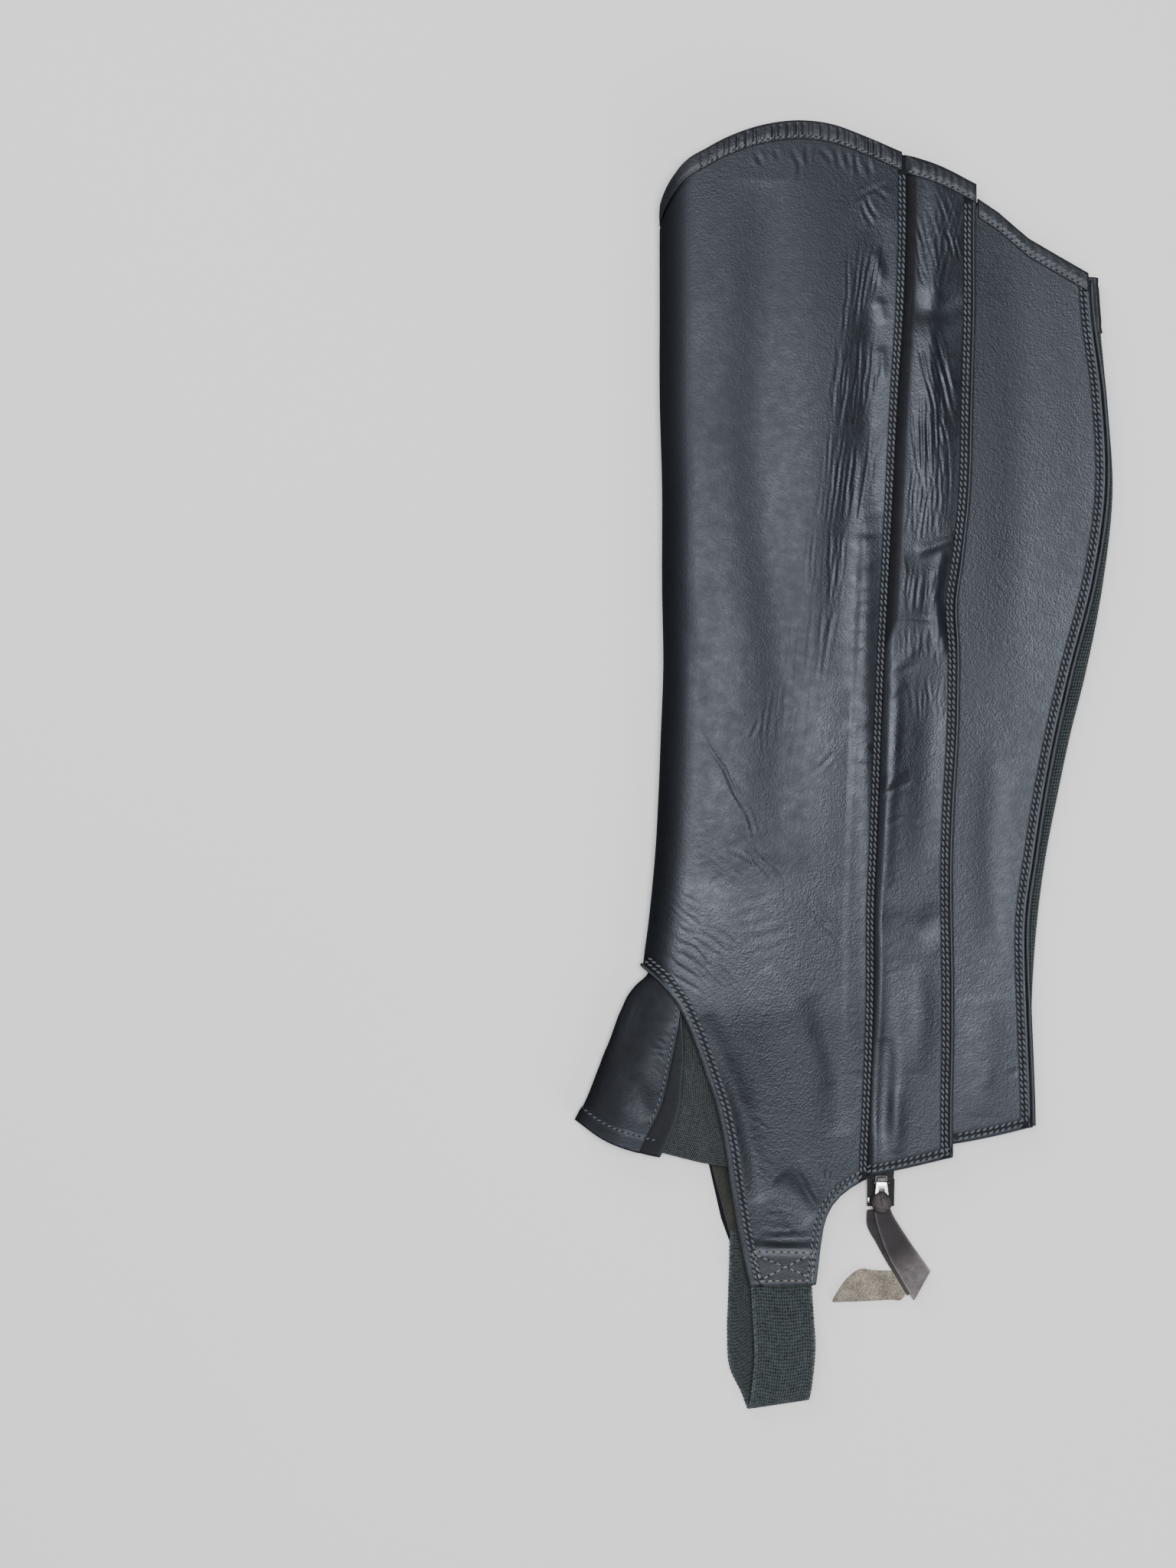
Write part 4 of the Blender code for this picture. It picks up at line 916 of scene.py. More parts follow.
def flat_shell(name, x, y, high, low, look, inside=None, wear_and_shade=None):
    """A closed shell over places (x, y), from its outer height to its inner height."""
    return shell(name, together(x, y, high), together(x, y, low), look, inside, wear_and_shade=wear_and_shade)


def loft(name, rings, look, wear_and_shade=None):
    """A closed body through rings that all have the same number of points."""
    rings = np.asarray(rings, float)
    count, around = rings.shape[:2]
    index = np.arange(count * around).reshape(count, around)
    turned = np.roll(index, -1, axis=1)
    faces = together(index[:-1], turned[:-1], turned[1:], index[1:]).reshape(-1, 4).tolist()
    middles = np.stack([rings[0].mean(axis=0), rings[-1].mean(axis=0)])
    points = np.concatenate([rings.reshape(-1, 3), middles])
    first, last = count * around, count * around + 1
    for k in range(around):
        m = (k + 1) % around
        faces.append([int(index[0, m]), int(index[0, k]), first])
        faces.append([int(index[-1, k]), int(index[-1, m]), last])
    uv = arc_lengths(rings).reshape(-1, 2)
    uv = np.concatenate([uv, uv[:1], uv[-1:]])
    if wear_and_shade is not None:
        wear_and_shade = np.broadcast_to(wear_and_shade, (count, around)).ravel()
        wear_and_shade = np.concatenate([wear_and_shade, wear_and_shade[:1], wear_and_shade[-1:]])
    made = build(name, points, faces, [look], None, uv, wear_and_shade)
    print(f"{name}: {len(made.data.polygons)} faces")
    return made


def dress(piece, body, slot, *nodes):
    """Rides the piece on its body and stands it in for its solids. The slot is not used."""
    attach(piece, body)
    if nodes:
        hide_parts(*nodes)
    return piece


def spread(*parts):
    """Shares along a grid line, from (start, end, steps) parts that join end to end."""
    values = [np.array([parts[0][0]])]
    for start, end, steps in parts:
        values.append(np.linspace(start, end, steps + 1)[1:])
    return np.concatenate(values)


print("helpers ready")

# %% [markdown]
# ## The leather round the leg
# One hide goes all the way round: over the outer side, round the shin and back under the inner side to the
# elastic. Beside the zip's seam it carries two rows of lock stitch, each in its groove, and the tape sewn
# behind them shows as a raised band with small puckers. Towards the foot it narrows to the strap's tab.

# %% Shape the leg leather
SEAM_REACH = 1.6
SEAM_ROWS = (0.7, 2.4)
BAND_LEFT = 13.0


def seam_relief(x, y):
    """The two stitch grooves along the seam, and the raised band of the tape behind them."""
    away = leg("seam", y) + SEAM_REACH - x
    grooves = -0.32 * hump(away - sum(SEAM_ROWS) / 2, 1.3, 4)
    between = 0.1 * hump(away - sum(SEAM_ROWS) / 2, 0.4)
    rounded_edge = -0.3 * hump(np.clip(away, 0, None), 0.4)
    top = from_photo(0, 655)[1]
    fade = from_photo(0, 1010)[1]
    low = from_photo(0, 1460)[1]
    strength = ease((top - y) / 18.0) * (0.3 + 0.7 * ease((y - fade + 45.0) / 60.0)) * ease((y - low) / 20.0)
    band = 0.34 * strength * ease((BAND_LEFT + 1.0 - away) / 3.6) * ease((away + 0.5) / 9.5)
    return grooves + between + rounded_edge + band


def edge_away(points, x, y):
    """Distance from an edge given as a table of points, in plan."""
    table = np.array(points, float)
    best = np.full(np.broadcast(x, y).shape, 1e9)
    for (ax, ay), (bx, by) in zip(table[:-1], table[1:]):
        run = (bx - ax) ** 2 + (by - ay) ** 2
        t = np.clip(((x - ax) * (bx - ax) + (y - ay) * (by - ay)) / run, 0, 1)
        best = np.minimum(best, np.hypot(x - ax - t * (bx - ax), y - ay - t * (by - ay)))
    return best


def main_relief(x, y):
    arch = edge_away(ARCH, x, y)
    hem = edge_away(HEM_LINE, x, y)
    sewn = -0.16 * hump(arch - 3.3, 1.3) - 0.14 * hump(hem - 2.4, 1.2)
    return folds(x, y) + relief_of(MAIN_CREASES, x, y) + seam_relief(x, y) + sewn


def main_height(x, y):
    """Height of the leg leather's outer face above any place on the outer side."""
    x = np.asarray(x, float)
    y = np.asarray(y, float)
    crown = leg("shin", y) + SHIN_FOLD
    rounding = fold_height(x, crown, 0.0, SHIN_FOLD, level(crown, y) / 2)
    return np.where(x >= crown, level(x, y), rounding) + main_relief(x, y) * ease((x - crown) / 12.0 + 1.0)


def leg_low_edge(x, shares):
    return np.where(shares <= 1.5, main_low_edge(x), inner_low_edge(x))


low_width = float(leg("seam", -219.0) - leg("shin", -219.0)) - SHIN_FOLD
beside_seam = 4.0 / low_width
outer_shares = spread((-SEAM_REACH / low_width, beside_seam, 17), (beside_seam, 0.31, 62), (0.31, 1.0, 109))
leg_shares = np.concatenate([outer_shares, spread((1.0, 2.0, 16), (2.0, 3.0, 20))[1:]])
leg_shares[-1] = INNER_END


def leg_x(y):
    return leg_point(leg_shares, y, 0.0)[..., 0]


leg_bottom = end_of_column(lambda x: leg_low_edge(x, leg_shares), leg_x, LOW_START)
leg_top = end_of_column(lambda x: main_high_edge(x, leg_shares), leg_x, HIGH_START)
LEG_ROWS = 392
y_grid = leg_bottom + (leg_top - leg_bottom) * np.linspace(0, 1, LEG_ROWS + 1)[:, None]
let_in = leg_recess(leg_shares) * ease((y_grid - (leg_top - BINDING_WIDTH - 2.5)) / 2.0)
plain = leg_point(leg_shares, y_grid, 0.0)
plain_x = plain[..., 0]
plain_y = plain[..., 1]
shown = ease(2.0 - leg_shares) * np.ones_like(y_grid)
raised = main_relief(plain_x, plain_y) * shown
print("highest and lowest relief in mm:", round(float(raised.max()), 2), round(float(raised.min()), 2))

# %% Rub its edges, paint shade into its grooves, over its shin fold and above the ankle, and close it
arch_away = edge_away(ARCH, plain_x, plain_y)
leg_wear_and_shade = 0.3 * np.exp(-np.minimum(arch_away, edge_away(HEM_LINE, plain_x, plain_y)) / 3.0)
leg_wear_and_shade += 0.4 * ease((-200.0 - plain_y) / 8.0)
# painted shade: darkens the steep side of the shin fold, the two stitch grooves beside the seam and the
# stitch grooves along the arch
leg_wear_and_shade -= 0.8 * ease((leg("shin", y_grid) + 12.5 - plain_x) / 10.0)
leg_wear_and_shade -= 1.3 * hump(leg("seam", y_grid) + SEAM_REACH - 1.5 - plain_x, 1.7, 4)
leg_wear_and_shade -= 0.9 * hump(arch_away - 3.3, 1.6, 4)
# painted shade: a slight darkening of the outer side above the ankle, away from the seam
above_ankle = ease((plain_y - from_photo(0, 1190)[1]) / 30.0)
leg_wear_and_shade -= 0.2 * above_ankle * ease((leg("seam", y_grid) - 20.0 - plain_x) / 12.0)
leg_inside = leg_point(leg_shares, y_grid, np.minimum(raised - 0.9, -LEATHER) - let_in)
leg_leather = shell("leg_leather", leg_point(leg_shares, y_grid, raised - let_in), leg_inside, black_leather,
                    lining, wear_and_shade=np.clip(leg_wear_and_shade * shown, -1, 1))
dress(leg_leather, CHAP, "black_leather", "main_panel", "inner_panel")

# %% [markdown]
# ## The flap over the zip, and the side panel
# The flap is sewn under the seam, sinks into a valley beside it and lies over the zip. Its free edge is
# turned and piped, with two rows of stitches. It is the most bent piece, so it has the strongest wrinkles
# and one deep dent. The side panel is stiffer and nearly plain, and meets the elastic at a corded seam.

# %% Shape the flap
FLAP_TOP = ((14.0, 262.0), (26.0, 259.0), (39.0, 255.0), (55.5, 247.0))
FLAP_HEM = ((0.0, -174.0), (21.6, -170.0), (45.5, -164.5))
FLAP_UNDERLAP = 7.0
FLAP_VALLEY = 5.5
FLAP_TOP_AT_SEAM = 259.0
FLAP_TOP_UNDER_MAIN = 251.5
FLAP_DENT = (69.0, 14.0, 1.6)
FLAP_ROWS = (2.7, 4.4)


def flap_right(y):
    middle, reach, depth = FLAP_DENT
    return leg("flap", y) - depth * hump(y - middle, reach)


def flap_level(x, y):
    """The flap's outer face: under the main panel's edge, then up out of the valley beside the seam."""
    past = (x - leg("seam", y)) / FLAP_VALLEY
    return level(x, y) - (LEATHER + SEAM_GAP) + LEATHER * ease(past)


def flap_relief(x, y):
    away = flap_right(y) - x
    piped = 0.34 * hump(away - 0.85, 0.75) - 0.3 * hump(away - 2.0, 0.4)
    grooves = -0.26 * hump(away - sum(FLAP_ROWS) / 2, 1.4, 4)
    hem = edge_away(FLAP_HEM, x, y)
    sewn = -0.14 * hump(hem - 2.4, 1.2)
    out_of_valley = ease((x - leg("seam", y)) / FLAP_VALLEY)
    calm_edge = ease((away - 0.5) / 4.5) * 0.85 + 0.15
    bent = folds(x, y) + relief_of(FLAP_CREASES, x, y) * calm_edge
    bent = np.where(bent < 0, 1.4 * np.tanh(bent / 1.4), bent)
    return bent * out_of_valley + piped + grooves + sewn


def flap_height(x, y):
    return flap_level(x, y) + flap_relief(x, y)


past_seam = SEAM_GAP + BINDING
flap_shares = np.concatenate([[0, 0, 0], spread((0.0, 0.84, 72), (0.84, 1.0, 21))])
flap_offsets = np.array([-FLAP_UNDERLAP, -3.5, 0.4] + [past_seam] * 94)


def flap_x(y):
    seam = leg("seam", y)
    return seam + flap_offsets + (flap_right(y) - seam - past_seam) * flap_shares


def flap_top(x):
    under_main = np.where(flap_offsets == past_seam, FLAP_TOP_AT_SEAM, FLAP_TOP_UNDER_MAIN)
    return np.where(flap_shares > 0, rounded(FLAP_TOP, x), under_main)


def panel_grid(x_at, bottom, top, rows):
    low = end_of_column(bottom, x_at, LOW_START)
    high = end_of_column(top, x_at, HIGH_START)
    y = low + (high - low) * np.linspace(0, 1, rows + 1)[:, None]
    return x_at(y), y


x, y = panel_grid(flap_x, lambda x: rounded(FLAP_HEM, x), flap_top, 380)
flap_wear_and_shade = 0.4 * np.exp(-np.minimum(flap_right(y) - x, edge_away(FLAP_HEM, x, y)) / 1.2)
# painted shade: darkens the two stitch grooves by the piped edge, the valley beside the seam and the stitch
# groove along the hem
flap_wear_and_shade -= 1.2 * hump(flap_right(y) - x - 3.5, 1.7, 4)
flap_wear_and_shade -= ease((leg("seam", y) + 4.0 + 3.6 * ease((y - 50.0) / 15.0) - x) / 2.6)
flap_wear_and_shade -= 0.9 * hump(edge_away(FLAP_HEM, x, y) - 2.7, 1.6, 4)
flap_leather = flat_shell("flap_leather", x, y, flap_height(x, y), flap_level(x, y) - LEATHER, black_leather,
                          lining, flap_wear_and_shade)
dress(flap_leather, CHAP, "black_leather", "flap")

# %% Shape the side panel
SIDE_TOP = ((20.0, 250.0), (40.0, 245.5), (54.9, 238.8), (56.2, 241.3), (65.0, 235.5), (72.0, 229.5),
            (78.0, 224.5), (91.0, 217.0), (105.0, 209.0))
SIDE_HEM = ((15.0, -161.0), (46.3, -159.0), (65.2, -155.4), (79.0, -152.0))
SIDE_FROM_SEAM = 12.0
SIDE_DROP = LEATHER + 2 * SEAM_GAP
SIDE_ROWS = (1.6, 3.3)


def side_level(x, y):
    return level(x, y) - SIDE_DROP


def side_relief(x, y):
    away = leg("piping", y) - x
    grooves = -0.26 * hump(away - sum(SIDE_ROWS) / 2, 1.4, 4)
    sewn = -0.14 * hump(edge_away(SIDE_HEM, x, y) - 2.4, 1.2)
    return relief_of(SIDE_CREASES, x, y) + grooves + sewn


def side_height(x, y):
    return side_level(x, y) + side_relief(x, y)


side_shares = spread((0.0, 0.88, 44), (0.88, 1.0, 20))


def side_x(y):
    left = leg("seam", y) + SIDE_FROM_SEAM
    return left + (leg("piping", y) - left) * side_shares


def side_top(x):
    return np.interp(x, *np.array(SIDE_TOP).T)


x, y = panel_grid(side_x, lambda x: rounded(SIDE_HEM, x), side_top, 320)
side_wear_and_shade = 0.4 * np.exp(-np.minimum(leg("piping", y) - x, edge_away(SIDE_HEM, x, y)) / 1.2)
# painted shade: darkens the two stitch grooves by the corded seam and the stitch groove along the hem
side_wear_and_shade -= 1.1 * hump(leg("piping", y) - x - 2.4, 1.5, 4)
side_wear_and_shade -= 0.9 * hump(edge_away(SIDE_HEM, x, y) - 2.7, 1.6, 4)
side_leather = flat_shell("side_leather", x, y, side_height(x, y), side_level(x, y) - LEATHER, black_leather,
                          lining, side_wear_and_shade)
dress(side_leather, CHAP, "black_leather", "side_panel")

# %% [markdown]
# ## Bindings
# A strip of thin leather is folded over each top edge and sewn through. It goes round a curve, so it
# puckers, most where the curve is tightest. A binding is lofted: one folded section carried along the edge.

# %% Fold a binding over each top edge


def binding_section():
    """The folded strip's outline as (up, out) pairs, with rounded edges. The outer face comes first."""
    near = SEAM_GAP
    far = SEAM_GAP + BINDING
    inside = -LEATHER - SEAM_GAP
    middle = (near + inside) / 2
    height = far - middle
    angles = np.linspace(math.pi / 2, -math.pi / 2, 9)
    fold = [(near + 0.9 * math.cos(a), middle + height * math.sin(a)) for a in angles]
    outer = [(-BINDING_WIDTH, near), (-BINDING_WIDTH, far - 0.25), (-BINDING_WIDTH + 0.3, far)]
    outer += [(up, far) for up in (-6.0, -5.2, -4.4, -3.6, -2.8, -2.0, -1.2, -0.5)]
    under = [(-2.0, inside - BINDING), (-BINDING_WIDTH + 0.3, inside - BINDING),
             (-BINDING_WIDTH, inside - BINDING + 0.25)]
    back = [(-BINDING_WIDTH, inside), (near - 0.3, inside), (near, middle), (near - 0.3, near)]
    return np.array(outer + fold + under + back), len(outer)


def binding(name, place, top, shares, puckers, look):
    """place(share, y, out) is a point off the panel's face, and puckers(share) a list of (width, height)."""
    section, outer_count = binding_section()
    rings = []
    for share, edge in zip(shares, top):
        pucker = puckers(share)
        groove = np.where(np.abs(section[:, 0] + BINDING_WIDTH - 1.3) < 0.6, -0.14, 0.0)
        swell = np.sin(np.clip((section[:, 0] + BINDING_WIDTH) / BINDING_WIDTH, 0, 1) * math.pi) * 0.16
        lift = np.where(np.arange(len(section)) < outer_count, groove + swell + pucker, 0.0)
        rings.append([place(share, edge + up, out + more) for (up, out), more in zip(section, lift)])
    return loft(name, rings, look, wear_and_shade=0.04)


PUCKERS = [(from_photo(px, 0)[0], size) for px, size in (
    (962, 0.5), (975, 0.7), (988, 0.8), (997, 0.6), (1008, 0.9), (1017, 0.6), (1028, 0.9), (1039, 0.7),
    (1049, 0.8), (1060, 0.6), (1071, 0.9), (1082, 0.7), (1095, 0.8), (1107, 0.6), (1117, 0.8), (1134, 1.6),
    (1141, 1.3), (1152, 0.7))]


def main_puckers(share):
    if share > 1:
        return 0.06 * math.sin(share * 260.0)
    at = leg_point(share, 265.0, 0.0)[0]
    fine = 0.07 * math.sin(at * 2.1 + 1.3 * math.sin(at * 0.37)) + 0.05 * math.sin(at * 3.7)
    return fine - sum(0.36 * size * math.exp(-((at - across) / 0.7) ** 2) for across, size in PUCKERS)


strip = np.concatenate([np.linspace(0.0, 1.0, 240), np.linspace(1.0, 2.0, 40)[1:],
                        np.linspace(2.0, INNER_END, 60)[1:]])


def strip_x(y):
    return leg_point(strip, y, 0.0)[..., 0]


strip_top = end_of_column(lambda x: main_high_edge(x, strip), strip_x, HIGH_START)
top_binding = binding("top_binding", lambda s, y, out: leg_point(s, y, out - leg_recess(s)), strip_top, strip,
                      main_puckers, binding_leather)
dress(top_binding, CHAP, "binding_leather", "main_binding")


def along_top(low, high, top):
    """Places along a panel's top edge as fine steps across."""
    x = np.linspace(low, high, 70)
    return x, top(x)


flap_edge_x, flap_edge_y = along_top(float(leg("seam", 259.0)) + past_seam, float(flap_right(247.0)),
                                     lambda x: rounded(FLAP_TOP, x))
flap_binding = binding("flap_top_binding", lambda x, y, out: (x, y, flap_level(x, y) + out), flap_edge_y,
                       flap_edge_x, lambda x: 0.05 * math.sin(x * 1.9), binding_leather)
dress(flap_binding, CHAP, "binding_leather", "flap_binding")
side_edge_x, side_edge_y = along_top(56.2, float(leg("piping", 210.0)), side_top)
side_binding = binding("side_top_binding", lambda x, y, out: (x, y, side_level(x, y) + out), side_edge_y,
                       side_edge_x, lambda x: 0.05 * math.sin(x * 1.3), binding_leather)
dress(side_binding, CHAP, "binding_leather", "side_binding")

# %% [markdown]
# ## The elastic behind the calf
# A band of ribbed elastic lets the calf in. Its ribs run across it about a millimetre apart, and are real
# ridges here. A gathered leather cap is sewn round each end, with a row of stitches down each flute, and a
# thin cord pipes the seam to the side panel.

# %% Knit the elastic and gather its caps
ELASTIC = 1.2
ELASTIC_FOLD = 3.0
CALF_DROP = SIDE_DROP + LEATHER + SEAM_GAP
CAP_TOP_ENDS = (186.0, 209.5)
CAP_BOTTOM_ENDS = (-152.4, -128.7)
CAP_FLUTES = 8
CAP_FLUTE_HEIGHT = 0.9
CAP_FIRST_FLUTE = 1.05
PIPING_RADIUS = 0.9
PIPING_ENDS = (-151.5, 208.0)
RIB = 1.05


def elastic_point(v, y, out):
    """A point out mm off the elastic's outer face.

    v goes from 0 under the side panel's edge to 1 where the fold behind the calf starts, 2 where it meets
    the table, and 3 at the inner panel.
    """
    v, y, out = np.broadcast_arrays(np.asarray(v, float), y, out)
    start = leg("piping", y) - UNDERLAP - 1.0
    turn = leg("fold", y) - ELASTIC_FOLD
    top_x = start + (turn - start) * v
    top_z = level(top_x, y) - CALF_DROP
    half_height = (level(turn, y) - CALF_DROP) / 2
    angle = math.pi * (0.5 - np.clip(v - 1, 0, 1))
    fold_x, fold_z = round_fold(turn, 0.0, ELASTIC_FOLD, half_height, angle, out)
    under_x = turn + (inner_seam(y) + SEAM_GAP - turn) * (v - 2)
    return together(in_turn(v, top_x, fold_x, under_x), y, in_turn(v, top_z + out, fold_z, -out))


elastic_v = spread((0.0, 1.0, 8), (1.0, 2.0, 16), (2.0, 3.0, 16))
low = CAP_BOTTOM_ENDS[1] + SEAM_GAP
high = CAP_TOP_ENDS[0] - SEAM_GAP
elastic_y = np.linspace(low, high, 1201)[:, None] + 0.0 * elastic_v
ribs = 0.13 * np.cos(2 * math.pi * elastic_y / RIB + 0.25 * np.sin(elastic_v * 9.0))
ribs -= 0.13
calf_elastic = shell("calf_elastic", elastic_point(elastic_v, elastic_y, ribs),
                     elastic_point(elastic_v, elastic_y, -ELASTIC), ribbed_elastic)
dress(calf_elastic, CHAP, "ribbed_elastic", "elastic_panel")


def gathered_cap(name, ends, node):
    middle = (ends[0] + ends[1]) / 2
    piping_to_turn = float(leg("fold", middle) - ELASTIC_FOLD - leg("piping", middle))
    if piping_to_turn > SEAM_GAP:
        start = (UNDERLAP + 1.0 + SEAM_GAP) / (UNDERLAP + 1.0 + piping_to_turn)
    else:
        start = 1 + math.asin((SEAM_GAP - piping_to_turn) / ELASTIC_FOLD) / math.pi
    v = np.concatenate([np.linspace(start, 2.0, 45), np.linspace(2.0, 3.0, 101)[1:]])
    v = v[:len(v) - (len(v) - 1) % 4]
    v[-1] = 3.0
    y = np.linspace(ends[0], ends[1], 41)[:, None] + 0.0 * v
    at = elastic_point(v, y, 0.0)
    clear = ease((at[..., 0] - leg("piping", y) - 2 * PIPING_RADIUS - 2 * SEAM_GAP) / 0.8)
    shown_here = np.where(v > 1.5, 1.0, clear)
    turns = CAP_FLUTES * np.clip((v - CAP_FIRST_FLUTE) / (3.0 - CAP_FIRST_FLUTE), 0, 1)
    wave = (0.5 - 0.5 * np.cos(2 * math.pi * turns)) ** 0.7
    base = -CAP_FLUTE_HEIGHT * ease((v - 1.2) / 0.6)
    t = (y - ends[0]) / (ends[1] - ends[0])
    pinch = 0.25 * hump(t - 0.12, 0.05) + 0.25 * hump(t - 0.88, 0.05)
    outer = elastic_point(v, y, base + CAP_FLUTE_HEIGHT * wave * shown_here - pinch * shown_here)
    made = shell(name, outer, elastic_point(v, y, base - THIN_LEATHER), binding_leather, wear_and_shade=0.25)
    return dress(made, CHAP, "black_leather", node)


upper_cap = gathered_cap("upper_cap", CAP_TOP_ENDS, "cap_top")
lower_cap = gathered_cap("lower_cap", CAP_BOTTOM_ENDS, "cap_bottom")


def tube_rings(line, radius, around=8):
    """Rings of a round cord along a line of points."""
    line = np.asarray(line, float)
    ahead = unit(np.gradient(line, axis=0))
    side = unit(np.cross(ahead, (0.0, 0.0, 1.0)))
    up = np.cross(side, ahead)
    angles = 2 * math.pi * np.arange(around) / around
    return (line[:, None] + radius * (np.cos(angles)[None, :, None] * side[:, None]
                                      + np.sin(angles)[None, :, None] * up[:, None]))


piping_y = np.linspace(*PIPING_ENDS, 220)
piping_x = leg("piping", piping_y) + 2 * SEAM_GAP + PIPING_RADIUS
piping_z = level(piping_x, piping_y) - CALF_DROP + SEAM_GAP + PIPING_RADIUS
piping_line = together(piping_x, piping_y, piping_z)
calf_piping = loft("calf_piping", tube_rings(piping_line, PIPING_RADIUS), black_leather, wear_and_shade=0.5)
dress(calf_piping, CHAP, "black_leather", "elastic_piping")

# %% [markdown]
# ## The foot end
# Below the arch a leather tongue covers the instep, with a turned hem; painted shade darkens the steep side
# of its fold. A dark facing lies along its back edge, with painted shade where it lies under the tongue, and
# a stretch gusset fills the wedge between it and the leg. The arch's own edge is piped.

# %% Shape the tongue, its facing and the gussets
TONGUE_FOLD = ((-148.9, -114.6), (-142.0, -111.0), (-128.4, -105.5), (-115.4, -100.6), (-102.4, -95.4),
               (-95.0, -91.8), (-91.5, -89.0), (-87.5, -84.6), (-84.0, -82.8), (-76.0, -82.2))
TONGUE_EDGE = ((-160.0, -86.5), (-155.3, -84.3), (-143.3, -78.5), (-124.5, -73.9), (-103.7, -70.4),
               (-92.0, -69.5))
TONGUE_HEM = ((-114.6, -148.9), (-102.9, -157.0), (-86.6, -163.0), (-78.5, -164.8), (-50.0, -169.5))
TONGUE_DROP = 3.2
TONGUE_NEST = 3.6
TONGUE_NEST_DROP = 1.2
TONGUE_SET_BACK = 8.0
TONGUE_LIFT = (-128.0, 20.0)
TONGUE_SINK = (-112.0, 16.0)
HEM_BAND = 7.5
HEM_RAISE = 0.5
UNDER_ARCH = 6.0
ARCH_APEX = -90.0
FACING_EDGE = ((-166.0, -79.5), (-154.7, -74.0), (-143.3, -70.4), (-131.6, -69.4), (-119.9, -68.7),
               (-105.0, -69.4), (-98.0, -69.0))
FACING_TOP = -98.0
GUSSET = 1.0
GUSSET_HEM = ((-82.0, -161.8), (-57.7, -167.8), (-40.0, -170.5))
GUSSET_TOP = -101.0
INNER_GUSSET_SHORTER = 4.0


def tongue_under(y):
    """Height of the tongue's underside: inside the leg leather near the arch, on the table further down."""
    return TONGUE_NEST * ease((y - TONGUE_LIFT[0]) / TONGUE_LIFT[1])


def tongue_drop(y):
    """How far the tongue's outer face lies below the main panel's."""
    return TONGUE_DROP + TONGUE_NEST_DROP * ease((y - TONGUE_SINK[0]) / TONGUE_SINK[1])


def tongue_point(w, y, out):
    """A point out mm off the tongue's outer face.

    w goes from 0 at its back edge on the outer side to 1 at its crown, 2 under its fold, and 3 at its back
    edge on the inner side.
    """
    w, y, out = np.broadcast_arrays(np.asarray(w, float), y, out)
    crown = leg("ridge", y)
    edge = rounded(TONGUE_EDGE, y)
    half_width = crown - rounded(TONGUE_FOLD, y)
    low = tongue_under(y)
    half_height = (level(crown, y) - tongue_drop(y) - low) / 2
    top_x = edge + (crown - edge) * w
    angle = math.pi * (0.5 + np.clip(w - 1, 0, 1))
    fold_x, fold_z = round_fold(crown, low, half_width, half_height, angle, out)
    under_x = crown + (np.maximum(edge - TONGUE_SET_BACK, crown + 2.0) - crown) * (w - 2)
    top_z = level(top_x, y) - tongue_drop(y) + out
    return together(in_turn(w, top_x, fold_x, under_x), y, in_turn(w, top_z, fold_z, low - out))


def edge_across(table, y):
    """How far across an edge lies at height y, for an edge that only comes down."""
    points = np.array(table, float)
    return np.interp(-np.asarray(y, float), -points[:, 1], points[:, 0])


def tongue_relief(x, y):
    hem = rounded(TONGUE_HEM, x)
    line = -0.3 * hump(y - hem - HEM_BAND + 0.4, 0.5)
    return relief_of(TONGUE_CREASES, x, y) + line + HEM_RAISE * (1 - ease((y - hem - HEM_BAND + 0.4) / 0.7))


def tongue_height(x, y):
    x = np.asarray(x, float)
    crown = leg("ridge", y)
    half_width = crown - rounded(TONGUE_FOLD, y)
    low = tongue_under(y)
    half = (level(crown, y) - tongue_drop(y) - low) / 2
    rounding = fold_height(x, crown, low, half_width, half)
    return np.where(x >= crown, level(x, y) - tongue_drop(y), rounding) + tongue_relief(x, y)


tongue_w = spread((0.0, 1.0, 28), (1.0, 2.0, 36), (2.0, 3.0, 8))


def tongue_x(y):
    return tongue_point(tongue_w, y, 0.0)[..., 0]


def tongue_top(x):
    return np.where(tongue_w < 1.5, straight(ARCH, x), straight(INNER_ARCH, x))


tongue_low = end_of_column(lambda x: rounded(TONGUE_HEM, x), tongue_x, LOW_START)
tongue_high = end_of_column(tongue_top, tongue_x, ARCH_APEX) + UNDER_ARCH
y = tongue_low + (tongue_high - tongue_low) * np.linspace(0, 1, 105)[:, None]
at = tongue_point(tongue_w, y, 0.0)
shown = ease((2.0 - tongue_w) / 0.5) * np.ones_like(y)
tucked = ease((y - tongue_high + UNDER_ARCH + 2.0) / 3.0)
raised = tongue_relief(at[..., 0], y) * shown * (1 - tucked)
# The tongue is darker all over except at its hem, and painted shade darkens the steep left side of its fold
# further.
tongue_wear_and_shade = 0.3 * np.exp(-(y - tongue_low) / 2.0) - 0.3
tongue_wear_and_shade = tongue_wear_and_shade - 0.5 * ease((leg("ridge", y) + 5.0 - at[..., 0]) / 9.0)
tongue_inside = tongue_point(tongue_w, y, -LEATHER)
tongue = shell("tongue", tongue_point(tongue_w, y, raised), tongue_inside, black_leather, lining,
               wear_and_shade=tongue_wear_and_shade)
dress(tongue, CHAP, "black_leather", "instep_panel")

under_tongue = LEATHER + SEAM_GAP
across = np.linspace(0, 1, 21)


def facing_x(y):
    left = rounded(TONGUE_EDGE, y) - UNDERLAP + 1.0
    return left + (rounded(FACING_EDGE, y) - left) * across


x, y = panel_grid(facing_x, lambda x: rounded(TONGUE_HEM, x), lambda x: 0.0 * x + FACING_TOP, 80)
z = level(x, y) - tongue_drop(y) - under_tongue
facing_relief = 0.18 * hump(rounded(FACING_EDGE, y) - x - 0.6, 0.5)
